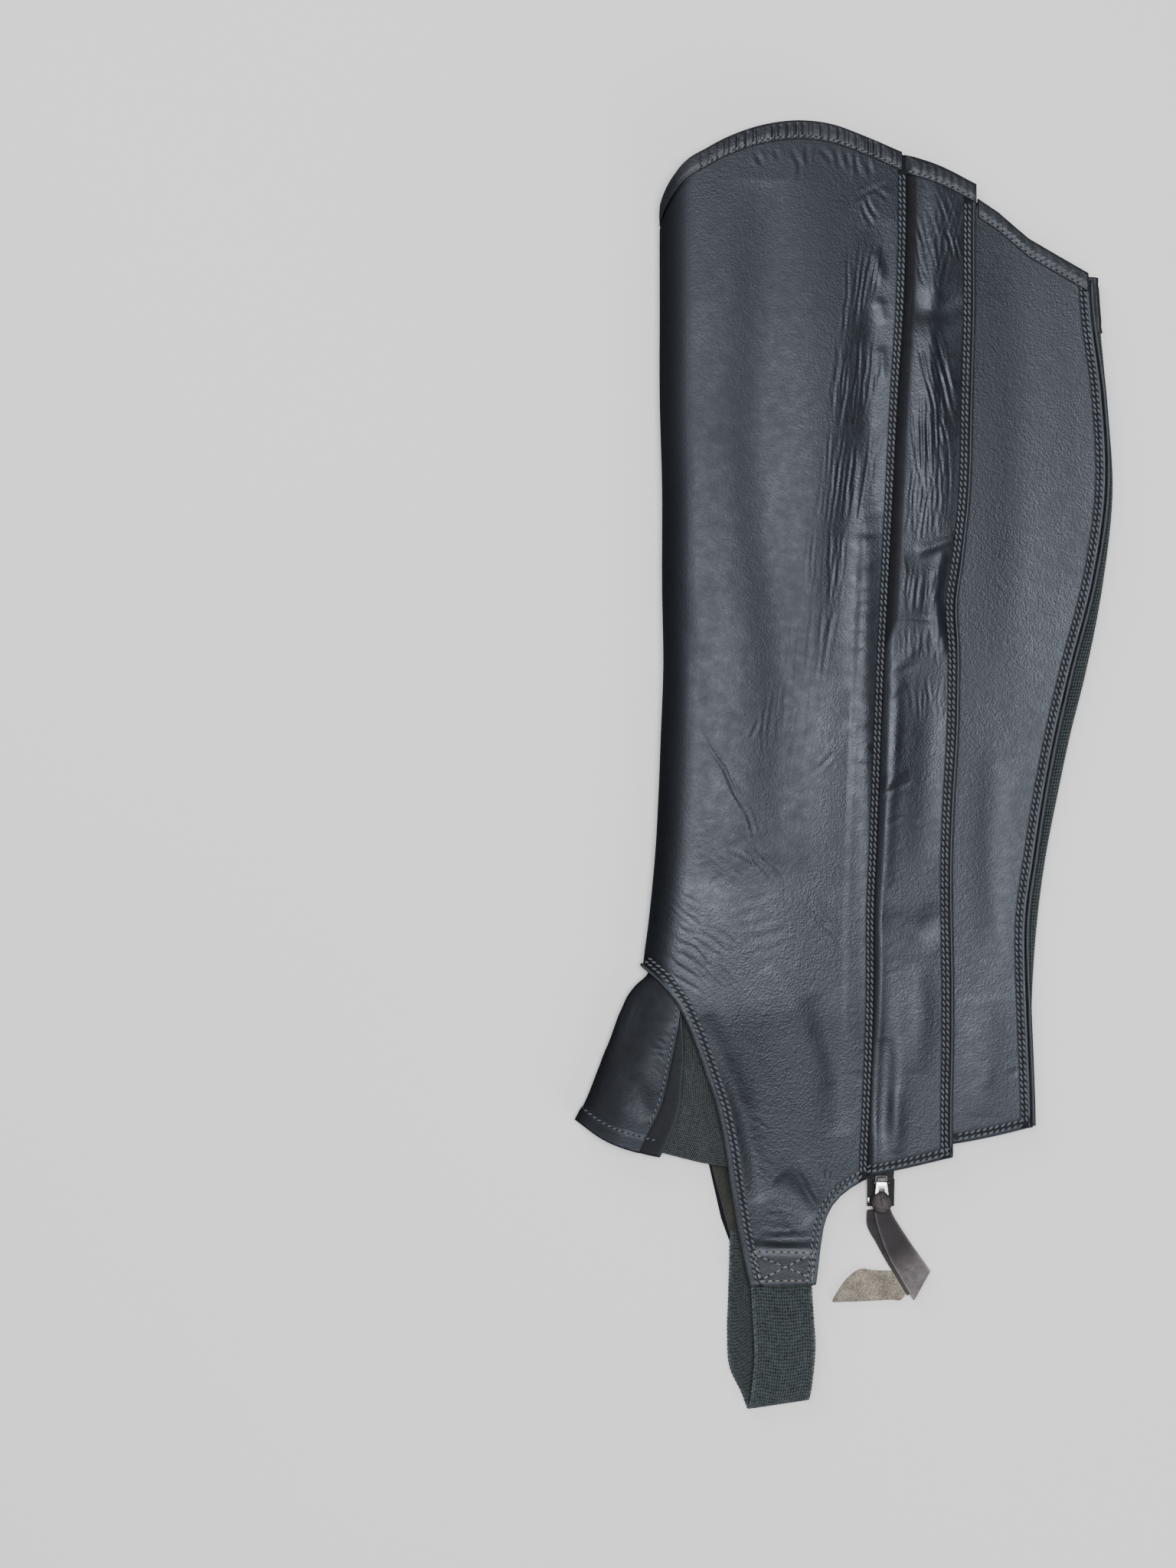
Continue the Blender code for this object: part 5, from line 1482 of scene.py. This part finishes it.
# painted shade: the facing is darkened all over, as it lies in the recess under the tongue's edge; a thin
# line along its free edge is lighter
facing_wear_and_shade = 1.3 * np.exp(-(rounded(FACING_EDGE, y) - x) / 0.5) - 0.7
facing = flat_shell("tongue_facing", x, y, z + facing_relief, z - THIN_LEATHER, binding_leather,
                    wear_and_shade=facing_wear_and_shade)
dress(facing, CHAP, "binding_leather", "instep_facing")

under_facing = under_tongue + THIN_LEATHER + SEAM_GAP


def gusset_x(y):
    left = rounded(FACING_EDGE, y) - UNDERLAP
    return left + (edge_across(ARCH, y) + UNDERLAP - left) * across


def inner_gusset_x(y):
    left = np.maximum(rounded(TONGUE_EDGE, y) - TONGUE_SET_BACK, leg("ridge", y) + 2.0) - UNDERLAP
    return left + (edge_across(INNER_ARCH, y) + UNDERLAP - left) * across


x, y = panel_grid(gusset_x, lambda x: rounded(GUSSET_HEM, x), lambda x: 0.0 * x + GUSSET_TOP, 280)
z = level(x, y) - tongue_drop(y) - under_facing
rib = 0.11 * np.cos(2 * math.pi * (y + 0.1 * x) / RIB) - 0.11
outer_gusset = flat_shell("outer_gusset", x, y, z + rib, z - GUSSET, gusset_elastic)
dress(outer_gusset, CHAP, "ribbed_elastic", "gusset_outer")
x, y = panel_grid(inner_gusset_x, lambda x: rounded(GUSSET_HEM, x) + INNER_GUSSET_SHORTER,
                  lambda x: 0.0 * x + GUSSET_TOP, 280)
z = tongue_under(y + 2 * UNDERLAP) + LEATHER + 2 * SEAM_GAP + GUSSET
rib = 0.11 * np.cos(2 * math.pi * (y + 0.1 * x) / RIB) - 0.11
inner_gusset = flat_shell("inner_gusset", x, y, z + rib, z - GUSSET, gusset_elastic)
dress(inner_gusset, CHAP, "ribbed_elastic", "gusset_inner")

arch = np.array(ARCH)
arch_share = distances(arch)
arch_run = np.linspace(0, arch_share[-1], 130)
arch_x = smooth(arch_share, arch[:, 0], arch_run)
arch_y = smooth(arch_share, arch[:, 1], arch_run)
arch_line = together(arch_x, arch_y, main_height(arch_x + 0.4, arch_y) - 0.75)
arch_piping = loft("arch_piping", tube_rings(arch_line, 0.72), binding_leather, wear_and_shade=0.7)
dress(arch_piping, CHAP, "binding_leather")

# %% [markdown]
# ## The strap under the foot
# A band of wide elastic is sewn behind the tab, goes down, turns under and comes back up to the inner tab.
# It is lofted along its own path, and its ribs are rings a little thicker and thinner by turns.

# %% Run the strap down and back
STRAP = 1.4
STRAP_WIDTH = 26.0
STRAP_ROUTE = ((-194.0, 9.1, -27.0, 0.0), (-207.0, 8.4, -27.0, 0.0), (-219.0, 7.8, -27.1, 0.0),
               (-232.0, 7.9, -26.4, 0.03), (-247.0, 7.9, -25.6, 0.08), (-260.0, 7.2, -26.6, 0.12),
               (-266.5, 6.3, -27.4, 0.15), (-269.6, 4.6, -28.0, 0.15), (-270.2, 3.2, -28.4, 0.15),
               (-268.8, 1.6, -29.2, 0.15), (-265.5, 0.7, -30.4, 0.14), (-255.0, 0.7, -35.6, 0.1),
               (-240.0, 0.7, -37.0, 0.05), (-226.0, 0.7, -36.6, 0.0), (-219.0, 1.5, -36.4, 0.0),
               (-212.5, 2.9, -36.2, 0.0), (-204.0, 2.9, -36.0, 0.0), (-196.0, 2.9, -35.8, 0.0))
route = np.array(STRAP_ROUTE)
route_share = distances(route)
STRAP_RIB = 1.6
strap_run = np.arange(0.0, route_share[-1], STRAP_RIB / 6)
strap_y, strap_z, strap_middle, strap_slant = (smooth(route_share, route[:, k], strap_run) for k in range(4))
ahead = unit(together(np.gradient(strap_y), np.gradient(strap_z)))
half_section = [(side, face) for side, face in
                [(-1.0, 0.0)] + [(s, -1.0) for s in np.linspace(-0.985, 0.985, 18)]
                + [(1.0, 0.0)] + [(s, 1.0) for s in np.linspace(0.985, -0.985, 18)]]
rings = []
for k, run in enumerate(strap_run):
    rib = 0.17 * math.cos(2 * math.pi * run / STRAP_RIB)
    ring = []
    for side, face in half_section:
        edge_wave = 0.15 * math.cos(2 * math.pi * run / STRAP_RIB + 1.0)
        at_x = strap_middle[k] + side * (STRAP_WIDTH / 2 + edge_wave)
        thickness = (STRAP / 2 - 0.17 + rib * (1 - 0.5 * abs(side) ** 6)) * face
        edge_cord = 0.12 * math.exp(-((abs(side) - 0.93) / 0.03) ** 2) * face
        offset = thickness + edge_cord
        ring.append((at_x, strap_y[k] + strap_slant[k] * (at_x - strap_middle[k]) - ahead[k, 1] * offset,
                     strap_z[k] + ahead[k, 0] * offset))
    rings.append(ring)
strap_wear = np.array([0.9 if abs(side) > 0.9 else 0.12 for side, face in half_section])
foot_strap = loft("foot_strap", rings, ribbed_elastic, wear_and_shade=strap_wear[None, :])
dress(foot_strap, CHAP, "ribbed_elastic", "stirrup_strap")
print("strap length in mm:", round(float(route_share[-1]), 1))


# %% [markdown]
# ## Stitches
# Each seam is a row of lock stitches: short fat threads that lie a little aslant in the groove they have
# pulled into the leather. One stitch is modelled, a small capsule, and then laid along every row.

# %% Model one stitch and one zip tooth


def begin(operator, **settings):
    """Adds a primitive and opens it in edit mode, in millimetres."""
    deselect_all()
    operator(**settings)
    made = bpy.context.object
    bpy.ops.object.mode_set(mode="EDIT")
    bpy.ops.mesh.select_mode(type="FACE")
    bpy.ops.mesh.select_all(action="SELECT")
    return made


def choose(made, test):
    """Selects the faces whose middle and normal pass the test."""
    bpy.ops.mesh.select_all(action="DESELECT")
    bpy.ops.object.mode_set(mode="OBJECT")
    for face in made.data.polygons:
        face.select = bool(test(face.center, face.normal))
    bpy.ops.object.mode_set(mode="EDIT")


def pattern_of(made):
    """Takes the modelled shape as points and faces, and clears it away."""
    bpy.ops.object.mode_set(mode="OBJECT")
    points = np.array([tuple(vertex.co) for vertex in made.data.vertices])
    faces = [tuple(face.vertices) for face in made.data.polygons]
    bpy.data.objects.remove(made)
    return points, faces


def settle(made, name, at, look):
    """Ends the modelling: moves the shape to its place in the mesh, in metres, and names it."""
    bpy.ops.object.mode_set(mode="OBJECT")
    made.name = name
    shift = np.array(at, float) + FRAME_SHIFT
    made.data.transform(Matrix.Scale(MM, 4) @ Matrix.Translation(Vector(shift)))
    made.data.materials.clear()
    made.data.materials.append(look)
    made.data.shade_smooth()
    made.data.set_sharp_from_angle(angle=math.radians(38))
    print(f"{name}: {len(made.data.polygons)} faces")
    return made


def repeat(name, pattern, origins, axes, look):
    """Copies of a pattern: origins is N by 3, and axes N by 3 by 3 with one axis in each row."""
    points, faces = pattern
    placed = origins[:, None] + np.einsum("vk,nkc->nvc", points, axes)
    starts = [k * len(points) for k in range(len(origins))]
    copied = [tuple(corner + start for corner in face) for start in starts for face in faces]
    made = build(name, placed.reshape(-1, 3), copied, [look])
    print(f"{name}: {len(origins)} copies")
    return made


stitch_shape = begin(bpy.ops.mesh.primitive_uv_sphere_add, segments=6, ring_count=5, radius=1.0)
bpy.ops.transform.rotate(value=math.pi / 2, orient_axis="Y", center_override=(0, 0, 0))
bpy.ops.transform.resize(value=(1.0, 0.4, 0.36), center_override=(0, 0, 0))
stitch_pattern = pattern_of(stitch_shape)

tooth_shape = begin(bpy.ops.mesh.primitive_cube_add, size=1.0)
bpy.ops.transform.resize(value=(3.0, 1.0, 1.5), center_override=(0, 0, 0))
choose(tooth_shape, lambda middle, normal: normal.x > 0.9)
bpy.ops.mesh.inset(thickness=0.22)
bpy.ops.mesh.extrude_region_move(TRANSFORM_OT_translate={"value": (0.5, 0, 0)})
bpy.ops.transform.resize(value=(1, 1.3, 0.7), center_override=(2.0, 0, 0))
bpy.ops.mesh.select_all(action="SELECT")
bpy.ops.mesh.bevel(offset=0.12, segments=1)
tooth_pattern = pattern_of(tooth_shape)
print("stitch faces:", len(stitch_pattern[1]), "tooth faces:", len(tooth_pattern[1]))

# %% Find the rows on every surface


def laid(x, y, height):
    """Points on an outer face, with the way up there."""
    x, y = np.broadcast_arrays(np.asarray(x, float), np.asarray(y, float))
    z = height(x, y)
    slope_x = (height(x + 0.3, y) - height(x - 0.3, y)) / 0.6
    slope_y = (height(x, y + 0.3) - height(x, y - 0.3)) / 0.6
    return together(x, y, z), unit(together(-slope_x, -slope_y, np.ones_like(z)))


def under(x, y, lift=0.0):
    """Points on the underside, which lies on the table."""
    x, y = np.broadcast_arrays(np.asarray(x, float), np.asarray(y, float))
    return together(x, y, 0 * x + lift), np.broadcast_to((0.0, 0.0, -1.0), (*x.shape, 3))


def beside(points, away):
    """A line beside a line of (x, y) points, to its left by away."""
    table = np.array(points, float)
    share = distances(table)
    run = np.linspace(0, share[-1], max(int(share[-1] / 1.5), 4))
    line = together(np.interp(run, share, table[:, 0]), np.interp(run, share, table[:, 1]))
    ahead = unit(np.gradient(line, axis=0))
    moved = line + away * together(-ahead[:, 1], ahead[:, 0])
    return moved[:, 0], moved[:, 1]


def read_line(at, share, table):
    """The columns x, y and z of a table, read at distances along its line."""
    return together(*[np.interp(at, share, table[:, k]) for k in range(3)])


def sew(name, rows, look, pitch=2.5, size=1.2, slant=24.0, lift=0.03):
    """Lays stitches along rows, each given as (points, ups), with a dark spot of painted shade for a needle
    hole after each.
    """
    origins = []
    axes = []
    hole_shades = []
    for points, ups in rows:
        share = np.concatenate([[0], np.cumsum(np.linalg.norm(np.diff(points, axis=0), axis=1))])
        count = int(share[-1] / pitch)
        at = (np.arange(count) + 0.5) * share[-1] / count + shake.uniform(-0.15, 0.15, count)
        place = read_line(at, share, points)
        up = unit(read_line(at, share, ups))
        ahead = unit(read_line(at + 1.1, share, points) - read_line(at - 1.1, share, points))
        side = unit(np.cross(up, ahead))
        turn = np.radians(slant + shake.normal(0, 3.0, count))[:, None]
        along = np.cos(turn) * ahead + np.sin(turn) * side
        side = unit(np.cross(up, along))
        origins.append(place + up * lift)
        hole_shades.append(place - (ahead * pitch / 2) + up * 0.02)
        length = size * shake.uniform(0.92, 1.06, count)[:, None]
        axes.append(np.stack([along * length, side * size, np.cross(along, side) * size], axis=1))
    every = np.concatenate(axes)
    hole_shade_origins.append(np.concatenate(hole_shades))
    hole_shade_axes.append(every * np.array((0.42, 1.0, 0.3))[None, :, None])
    return repeat(name, stitch_pattern, np.concatenate(origins), every, look)


hole_shade_origins = []
hole_shade_axes = []
y = np.linspace(-171.0, 252.0, 500)
main_rows = [laid(leg("seam", y) + SEAM_REACH - row, y, main_height) for row in SEAM_ROWS]
main_rows += [laid(*beside(ARCH, away), main_height) for away in (2.3, 4.3)]
main_rows += [laid(*beside(TAB_AND_HEM, away), main_height) for away in (1.9, 3.9)]
main_stitches = sew("main_stitches", main_rows, dark_thread)

y = np.linspace(-163.0, 240.0, 400)
flap_rows = [laid(flap_right(y) - row, y, flap_height) for row in FLAP_ROWS]
x = np.linspace(8.5, 44.5, 30)
flap_rows += [laid(x, rounded(FLAP_HEM, x) + row, flap_height) for row in (1.7, 3.7)]
flap_stitches = sew("flap_stitches", flap_rows, dark_thread)

y = np.linspace(-150.0, 206.0, 300)
side_rows = [laid(leg("piping", y) - row, y, side_height) for row in SIDE_ROWS]
x = np.linspace(47.5, 76.0, 24)
side_rows += [laid(x, rounded(SIDE_HEM, x) + row, side_height) for row in (1.7, 3.7)]
side_stitches = sew("side_stitches", side_rows, dark_thread)

x = np.linspace(-112.0, -80.5, 30)
tongue_rows = [laid(x, rounded(TONGUE_HEM, x) + HEM_BAND - 0.4, tongue_height)]
y = np.linspace(-150.0, -100.0, 40)
tongue_rows += [laid(rounded(TONGUE_EDGE, y) - 1.7, y, tongue_height)]
tongue_stitches = sew("tongue_stitches", tongue_rows, dark_thread, pitch=2.4, size=0.85)

box = [from_photo(*corner) for corner in ((982, 1634), (1061, 1636), (1061, 1672), (993, 1673), (982, 1634))]
cross = [[from_photo(986, 1638), from_photo(1056, 1667)], [from_photo(996, 1670), from_photo(1054, 1640)]]
box_rows = [laid(*beside(line, 0.0), main_height) for line in (box, *cross)]
box_stitches = sew("box_stitches", box_rows, pale_thread, pitch=3.0, size=1.0, slant=3.0, lift=0.12)

over = SEAM_GAP + BINDING


def top_edge(shares):
    """Height of the leg's top edge at shares of the way round."""
    return end_of_column(lambda x: main_high_edge(x, shares), lambda y: leg_point(shares, y, 0.0)[..., 0],
                         HIGH_START)


shares = np.linspace(0.004, 0.99, 160)
edge = top_edge(shares)
binding_rows = [(leg_point(shares, edge - BINDING_WIDTH + 1.3, over - 0.12),
                 laid(leg_point(shares, edge - 5, 0.0)[..., 0], edge - 5, level)[1])]
shares = np.linspace(2.02, 2.98, 160)
edge = top_edge(shares)
below = leg_point(shares, edge - BINDING_WIDTH + 1.3, 0.0)
binding_rows.append(under(below[:, 0], below[:, 1]))
x = np.linspace(float(leg("seam", 250.0)) + 2.5, float(flap_right(244.0)) - 1.0, 30)
binding_rows.append(laid(x, rounded(FLAP_TOP, x) - BINDING_WIDTH + 1.3,
                         lambda x, y: flap_level(x, y) + over - 0.12))
x = np.linspace(58.0, 101.0, 40)
for row in (1.3, 3.3):
    binding_rows.append(laid(x, side_top(x) - BINDING_WIDTH + row, lambda x, y: side_level(x, y) + over))
binding_stitches = sew("binding_stitches", binding_rows, dark_thread)

y = np.linspace(-146.0, 200.0, 300)
inner_rows = [under(inner_seam(y) - row, y) for row in (1.6, 3.9)]
inner_rows += [under(*beside(INNER_TAB_AND_HEM, away)) for away in (1.9, 3.9)]
inner_rows += [under(*beside(INNER_ARCH, away)) for away in (2.3, 4.3)]
inner_stitches = sew("inner_stitches", inner_rows, dark_thread, lift=-0.12)

cap_rows = []
for ends, inner_end in ((CAP_TOP_ENDS, 0.1), (CAP_BOTTOM_ENDS, 0.9)):
    y = np.linspace(ends[0] + 1.5, ends[1] - 1.5, 24)
    for k in range(2, CAP_FLUTES):
        v = CAP_FIRST_FLUTE + (3.0 - CAP_FIRST_FLUTE) * k / CAP_FLUTES
        low = elastic_point(v, y, -CAP_FLUTE_HEIGHT * ease((v - 1.2) / 0.6))
        cap_rows.append((low, unit(elastic_point(v, y, 1.0) - elastic_point(v, y, 0.0))))
    v = np.linspace(1.1, 2.98, 80)
    y = ends[0] + (ends[1] - ends[0]) * inner_end
    cap_rows.append((elastic_point(v, y, -0.25), unit(elastic_point(v, y, 1.0) - elastic_point(v, y, 0.0))))
cap_stitches = sew("cap_stitches", cap_rows, dark_thread, pitch=2.3, size=0.8)
# painted shade: a small dark spot at each needle hole stands in for the shade inside the hole
needle_hole_shade = repeat("needle_hole_shade", stitch_pattern, np.concatenate(hole_shade_origins), np.concatenate(hole_shade_axes),
                      zip_tape)
for stitches in (needle_hole_shade, main_stitches, flap_stitches, side_stitches, tongue_stitches, box_stitches,
                 inner_stitches, cap_stitches):
    dress(stitches, CHAP, "black_leather")
dress(binding_stitches, CHAP, "binding_leather")

# %% [markdown]
# ## The zip
# A coarse zip runs down under the flap. Only its foot end shows: two tape ends, the last teeth, the pin that
# ends the tape, and the slider. The slider is modelled from a block, and its pull is a plate with a hole.

# %% Lay the tape and its teeth
TAPE = 1.0
ZIP_DROP = 2 * LEATHER + 3 * SEAM_GAP
ZIP_FROM_SEAM = 8.0
ZIP_WIDTH = 24.0
ZIP_END = -186.0
ZIP_X = 15.4
ZIP_TOP = 232.0
ZIP_TAPE_END_HALF = 5.6
ZIP_NARROWS = (-154.0, 14.0)
ZIP_SAGS = (-168.0, 18.0)
ZIP_SAG = 3.0
ZIP_FREE_END = -174.0
tape_shares = np.linspace(-1.0, 1.0, 33)
tape_y = np.concatenate([np.linspace(ZIP_END, -150.0, 73), np.linspace(-150.0, ZIP_TOP, 173)[1:]])[:, None]
tape_y = tape_y + 0 * tape_shares
narrow = ease((ZIP_NARROWS[0] - tape_y) / ZIP_NARROWS[1])
half = ZIP_WIDTH / 2 + (ZIP_TAPE_END_HALF - ZIP_WIDTH / 2) * narrow


def zip_height(x, y):
    """Height of the zip tape's outer face: its free end sags below the hems."""
    return level(x, y) - ZIP_DROP - ZIP_SAG * ease((ZIP_SAGS[0] - np.asarray(y, float)) / ZIP_SAGS[1])


def zip_middle(y):
    return np.where(y < ZIP_FREE_END, ZIP_X, leg("seam", y) + ZIP_FROM_SEAM)


tape_x = zip_middle(tape_y) + tape_shares * half
slot = -0.35 * hump(tape_shares * half, 0.7) * ease((-178.0 - tape_y) / 3.0)
tape_z = zip_height(tape_x, tape_y)
tape = flat_shell("zip_tape_cloth", tape_x, tape_y, tape_z + slot, tape_z - TAPE, zip_tape, wear_and_shade=0.15)
dress(tape, CHAP, "zip_tape", "zip_tape")

tooth_y = np.arange(-171.6, 229.0, 1.3)
hand = np.where(np.arange(len(tooth_y)) % 2 == 0, 1.0, -1.0)
tooth_z = zip_height(zip_middle(tooth_y), tooth_y) + 0.35
tooth_at = together(zip_middle(tooth_y) - 1.35 * hand, tooth_y, tooth_z)
tooth_axes = np.zeros((len(tooth_y), 3, 3))
tooth_axes[:, 0, 0] = hand
tooth_axes[:, 1, 1] = hand
tooth_axes[:, 2, 2] = 0.8
teeth = repeat("zip_teeth", tooth_pattern, tooth_at, tooth_axes, dark_metal)
dress(teeth, CHAP, "dark_metal")

# %% Model the slider and its pull
SLIDER_HEIGHT = 2.3
PULL_AXIS_Y = -175.6
PULL_SIZE = (6.4, 6.2, 1.0)
slider_z = float(zip_height(ZIP_X, -176.7)) + SEAM_GAP
slider = begin(bpy.ops.mesh.primitive_cube_add, size=1.0)
bpy.ops.transform.resize(value=(8.2, 8.0, 2.3), center_override=(0, 0, 0))
choose(slider, lambda middle, normal: normal.y > 0.9)
bpy.ops.transform.resize(value=(0.62, 1, 0.6), center_override=(0, 4.0, -0.4))
choose(slider, lambda middle, normal: normal.y < -0.9)
bpy.ops.transform.resize(value=(0.66, 1, 0.62), center_override=(0, -4.0, -0.4))
choose(slider, lambda middle, normal: normal.z > 0.5)
bpy.ops.mesh.inset(thickness=0.9)
bpy.ops.transform.translate(value=(0, 0, -0.3))
bpy.ops.mesh.select_all(action="SELECT")
bpy.ops.mesh.bevel(offset=0.28, segments=2, affect="EDGES")
slider = settle(slider, "slider_body", (ZIP_X, -176.7, slider_z + 1.15), dark_metal)
dress(slider, CHAP, "dark_metal", "zip_slider")

axis_z = float(zip_height(ZIP_X, PULL_AXIS_Y)) + SLIDER_HEIGHT + 2 * SEAM_GAP + PULL_SIZE[2] / 2
for hand, ear_name in ((-1, "slider_ear_left"), (1, "slider_ear_right")):
    ear = begin(bpy.ops.mesh.primitive_cylinder_add, vertices=20, radius=1.0, depth=0.6)
    bpy.ops.transform.rotate(value=math.pi / 2, orient_axis="Y", center_override=(0, 0, 0))
    choose(ear, lambda middle, normal: normal.x * hand > 0.9)
    bpy.ops.mesh.inset(thickness=0.45)
    bpy.ops.mesh.extrude_region_move(TRANSFORM_OT_translate={"value": (0.25 * hand, 0, 0)})
    choose(ear, lambda middle, normal: abs(normal.x) > 0.9)
    bpy.ops.mesh.bevel(offset=0.08, segments=2)
    ear = settle(ear, ear_name, (ZIP_X + 3.0 * hand, PULL_AXIS_Y, axis_z - 0.15), dark_metal)
    dress(ear, CHAP, "dark_metal")

end_pin = begin(bpy.ops.mesh.primitive_cube_add, size=1.0)
bpy.ops.transform.resize(value=(1.0, 2.4, 1.6), center_override=(0, 0, 0))
bpy.ops.mesh.bevel(offset=0.3, segments=3)
end_pin = settle(end_pin, "tape_end_pin", (ZIP_X - ZIP_TAPE_END_HALF + 0.4, -183.4,
                                           float(zip_height(ZIP_X, -183.4)) - 0.3), bright_metal)
dress(end_pin, CHAP, "dark_metal")

width, length, thickness = PULL_SIZE
pull = begin(bpy.ops.mesh.primitive_cube_add, size=1.0)
bpy.ops.transform.resize(value=(width, length + thickness / 2, thickness), center_override=(0, 0, 0))
choose(pull, lambda middle, normal: normal.y > 0.9)
bpy.ops.transform.resize(value=((width - 1.6) / width, 1, 1), center_override=(0, 0, 0))
choose(pull, lambda middle, normal: abs(normal.z) > 0.9)
bpy.ops.mesh.inset(thickness=1.45, use_individual=True)
bpy.ops.transform.resize(value=(0.8, 0.5, 1.0), center_override=(0.0, -length / 2 + 1.6, 0.0))
bpy.ops.mesh.bridge_edge_loops()
bpy.ops.mesh.select_all(action="SELECT")
bpy.ops.mesh.bevel(offset=0.3, segments=3, affect="EDGES")
pull = settle(pull, "pull_plate", (ZIP_X, PULL_AXIS_Y + (thickness / 2 - length) / 2, axis_z), bright_metal)
dress(pull, PULL, "bright_metal", "zip_pull")

# %% [markdown]
# ## The lace on the pull
# A strip of leather is drawn through the pull and knotted. Its two ends hang down: one lies on top, with its
# smooth side up, one lies beneath it, and the tail has turned over and shows its pale suede side.

# %% Tie the knot and lay the three strips
KNOT_PLACE = (15.4, -186.6)
KNOT_RADII = (4.4, 4.2, 3.4)
KNOT_RAISE = 0.2
KNOT_SEAT_Y = -181.0
LACE = 1.5
LACE_FRONT = ((15.9, -187.6, 4.3, 3.2), (17.3, -192.0, 4.4, 3.8), (20.2, -198.5, 4.3, 4.7),
              (24.2, -206.0, 3.9, 5.5), (28.6, -213.0, 3.4, 5.9), (33.0, -220.0, 3.1, 6.2))
LACE_BACK = ((12.6, -187.8, 2.4, 2.8), (13.2, -193.5, 2.3, 3.4), (15.6, -201.0, 1.9, 3.9),
             (19.0, -210.8, 1.3, 4.0))
LACE_TAIL = ((32.6, -215.9, -214.8), (30.3, -218.8, -214.4), (27.2, -222.6, -214.2), (24.6, -226.0, -214.2),
             (20.3, -226.2, -214.2),
             (13.0, -226.6, -214.0), (6.3, -226.9, -213.7), (0.6, -227.1, -218.2), (-4.8, -227.3, -226.3))
knot_rows = 41
knot_columns = 65
tilt = np.linspace(0, math.pi, knot_rows)[1:-1, None]
turn = 2 * math.pi * np.arange(knot_columns - 1)[None, :] / (knot_columns - 1)
kx = np.sin(tilt) * np.cos(turn)
ky = np.sin(tilt) * np.sin(turn)
kz = np.cos(tilt) + 0 * turn
slit = hump(kx + 0.1 + 0.12 * ky, 0.075) * ease((kz + 0.1) / 0.4) * ease((ky + 0.5) / 0.3)
band = hump(ky - 0.55 - 0.3 * kx, 0.07) * ease((kz + 0.2) / 0.4)
lower = hump(ky + 0.62 + 0.15 * kx, 0.08) * ease((kz + 0.2) / 0.4)
lobes = 0.05 * np.cos(2 * turn) * np.sin(tilt) ** 2
grow = 1 + lobes - 0.2 * slit - 0.12 * band - 0.1 * lower
knot_z = float(zip_height(ZIP_X, KNOT_SEAT_Y)) + SEAM_GAP + KNOT_RADII[2] + KNOT_RAISE
knot_middle = np.array([*KNOT_PLACE, knot_z]) + (0.0, 2.7, 0.9)
knot_points = knot_middle + together(kx, ky, kz) * grow[..., None] * np.array((4.2, 4.9, 3.5))
knot = loft("knot", knot_points, lace_leather, wear_and_shade=0.05 + 0.3 * np.clip(kz, 0, 1))
dress(knot, PULL, "lace_leather", "lace_knot")


def lace(name, route, node, oblique=0.0, rows=81, cup=0.35, thick=LACE, scuff=1.0):
    """A strip along (x, y, z, half width) points, thin at its edges and a little cupped."""
    table = np.array(route, float)
    share = distances(table)
    run = np.linspace(0, share[-1], rows)
    x, y, z, half = (smooth(share, table[:, k], run) for k in range(4))
    ahead = unit(together(np.gradient(x), np.gradient(y)))
    s = np.linspace(-1, 1, 33)[None, :]
    t = (run / share[-1])[:, None]
    sx = x[:, None] - ahead[:, 1:] * half[:, None] * s + ahead[:, :1] * oblique * s * t ** 6
    sy = y[:, None] + ahead[:, :1] * half[:, None] * s + ahead[:, 1:] * oblique * s * t ** 6
    wander = 0.12 * np.sin(run * 0.5 + 1.0)[:, None] + 0.1 * np.sin(run * 0.93 + 2.0)[:, None] * s
    sheet = z[:, None] - thick / 2 + cup * (s ** 2 - 0.4) * (1 - t) + wander
    over = thick * (0.8 + 0.2 * np.sqrt(1 - 0.9 * s ** 2))
    rubbed = scuff * (0.6 * np.abs(s) ** 12 + 0.8 * ease((t - 0.45) / 0.5))
    made = flat_shell(name, sx, sy, sheet + over, sheet, lace_leather, wear_and_shade=rubbed)
    return dress(made, PULL, "lace_leather", node)


front_route = [(x, y, z + 0.5, half) for x, y, z, half in LACE_FRONT]
front_lace = lace("front_lace", front_route, "lace_front", oblique=-3.4)
back_route = LACE_BACK[:2] + ((15.9, -200.0, 2.1, 2.8), (20.0, -208.5, 2.1, 2.3), (24.3, -216.0, 2.3, 2.0),
                              (28.4, -223.4, 2.3, 1.8))
back_lace = lace("back_lace", back_route, "lace_back", cup=0.2, thick=0.8, scuff=0.2)

tail_table = np.array(LACE_TAIL)[::-1]
s = np.linspace(0, 1, 33)[None, :]
x = np.linspace(tail_table[0, 0], tail_table[-1, 0], 81)[:, None]
low_edge = smooth(tail_table[:, 0], tail_table[:, 1], x)
high_edge = smooth(tail_table[:, 0], tail_table[:, 2], x)
tail_y = low_edge + (high_edge - low_edge) * s
fold_line = -0.25 * hump(x - 17.4 - 1.5 * s, 0.6)
tail_z = SEAM_GAP + LACE + 0.35 * np.sin(math.pi * s) * ease((16.0 - x) / 8.0) + fold_line
tail = flat_shell("lace_tail_strip", x, tail_y, tail_z, tail_z - LACE, suede)
dress(tail, PULL, "suede", "lace_tail")

# %% [markdown]

# %% [markdown]
# ## Finish
# The sizes are printed, and the scene is finished.

# %% Finish the scene


def corners(box):
    """A box's lowest and highest corner as plain lists, in metres."""
    return [[float(part) for part in corner] for corner in box]


sizes = {"cad_box": corners(cad_box), "visual_box": corners(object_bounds())}
print("boxes:", sizes)
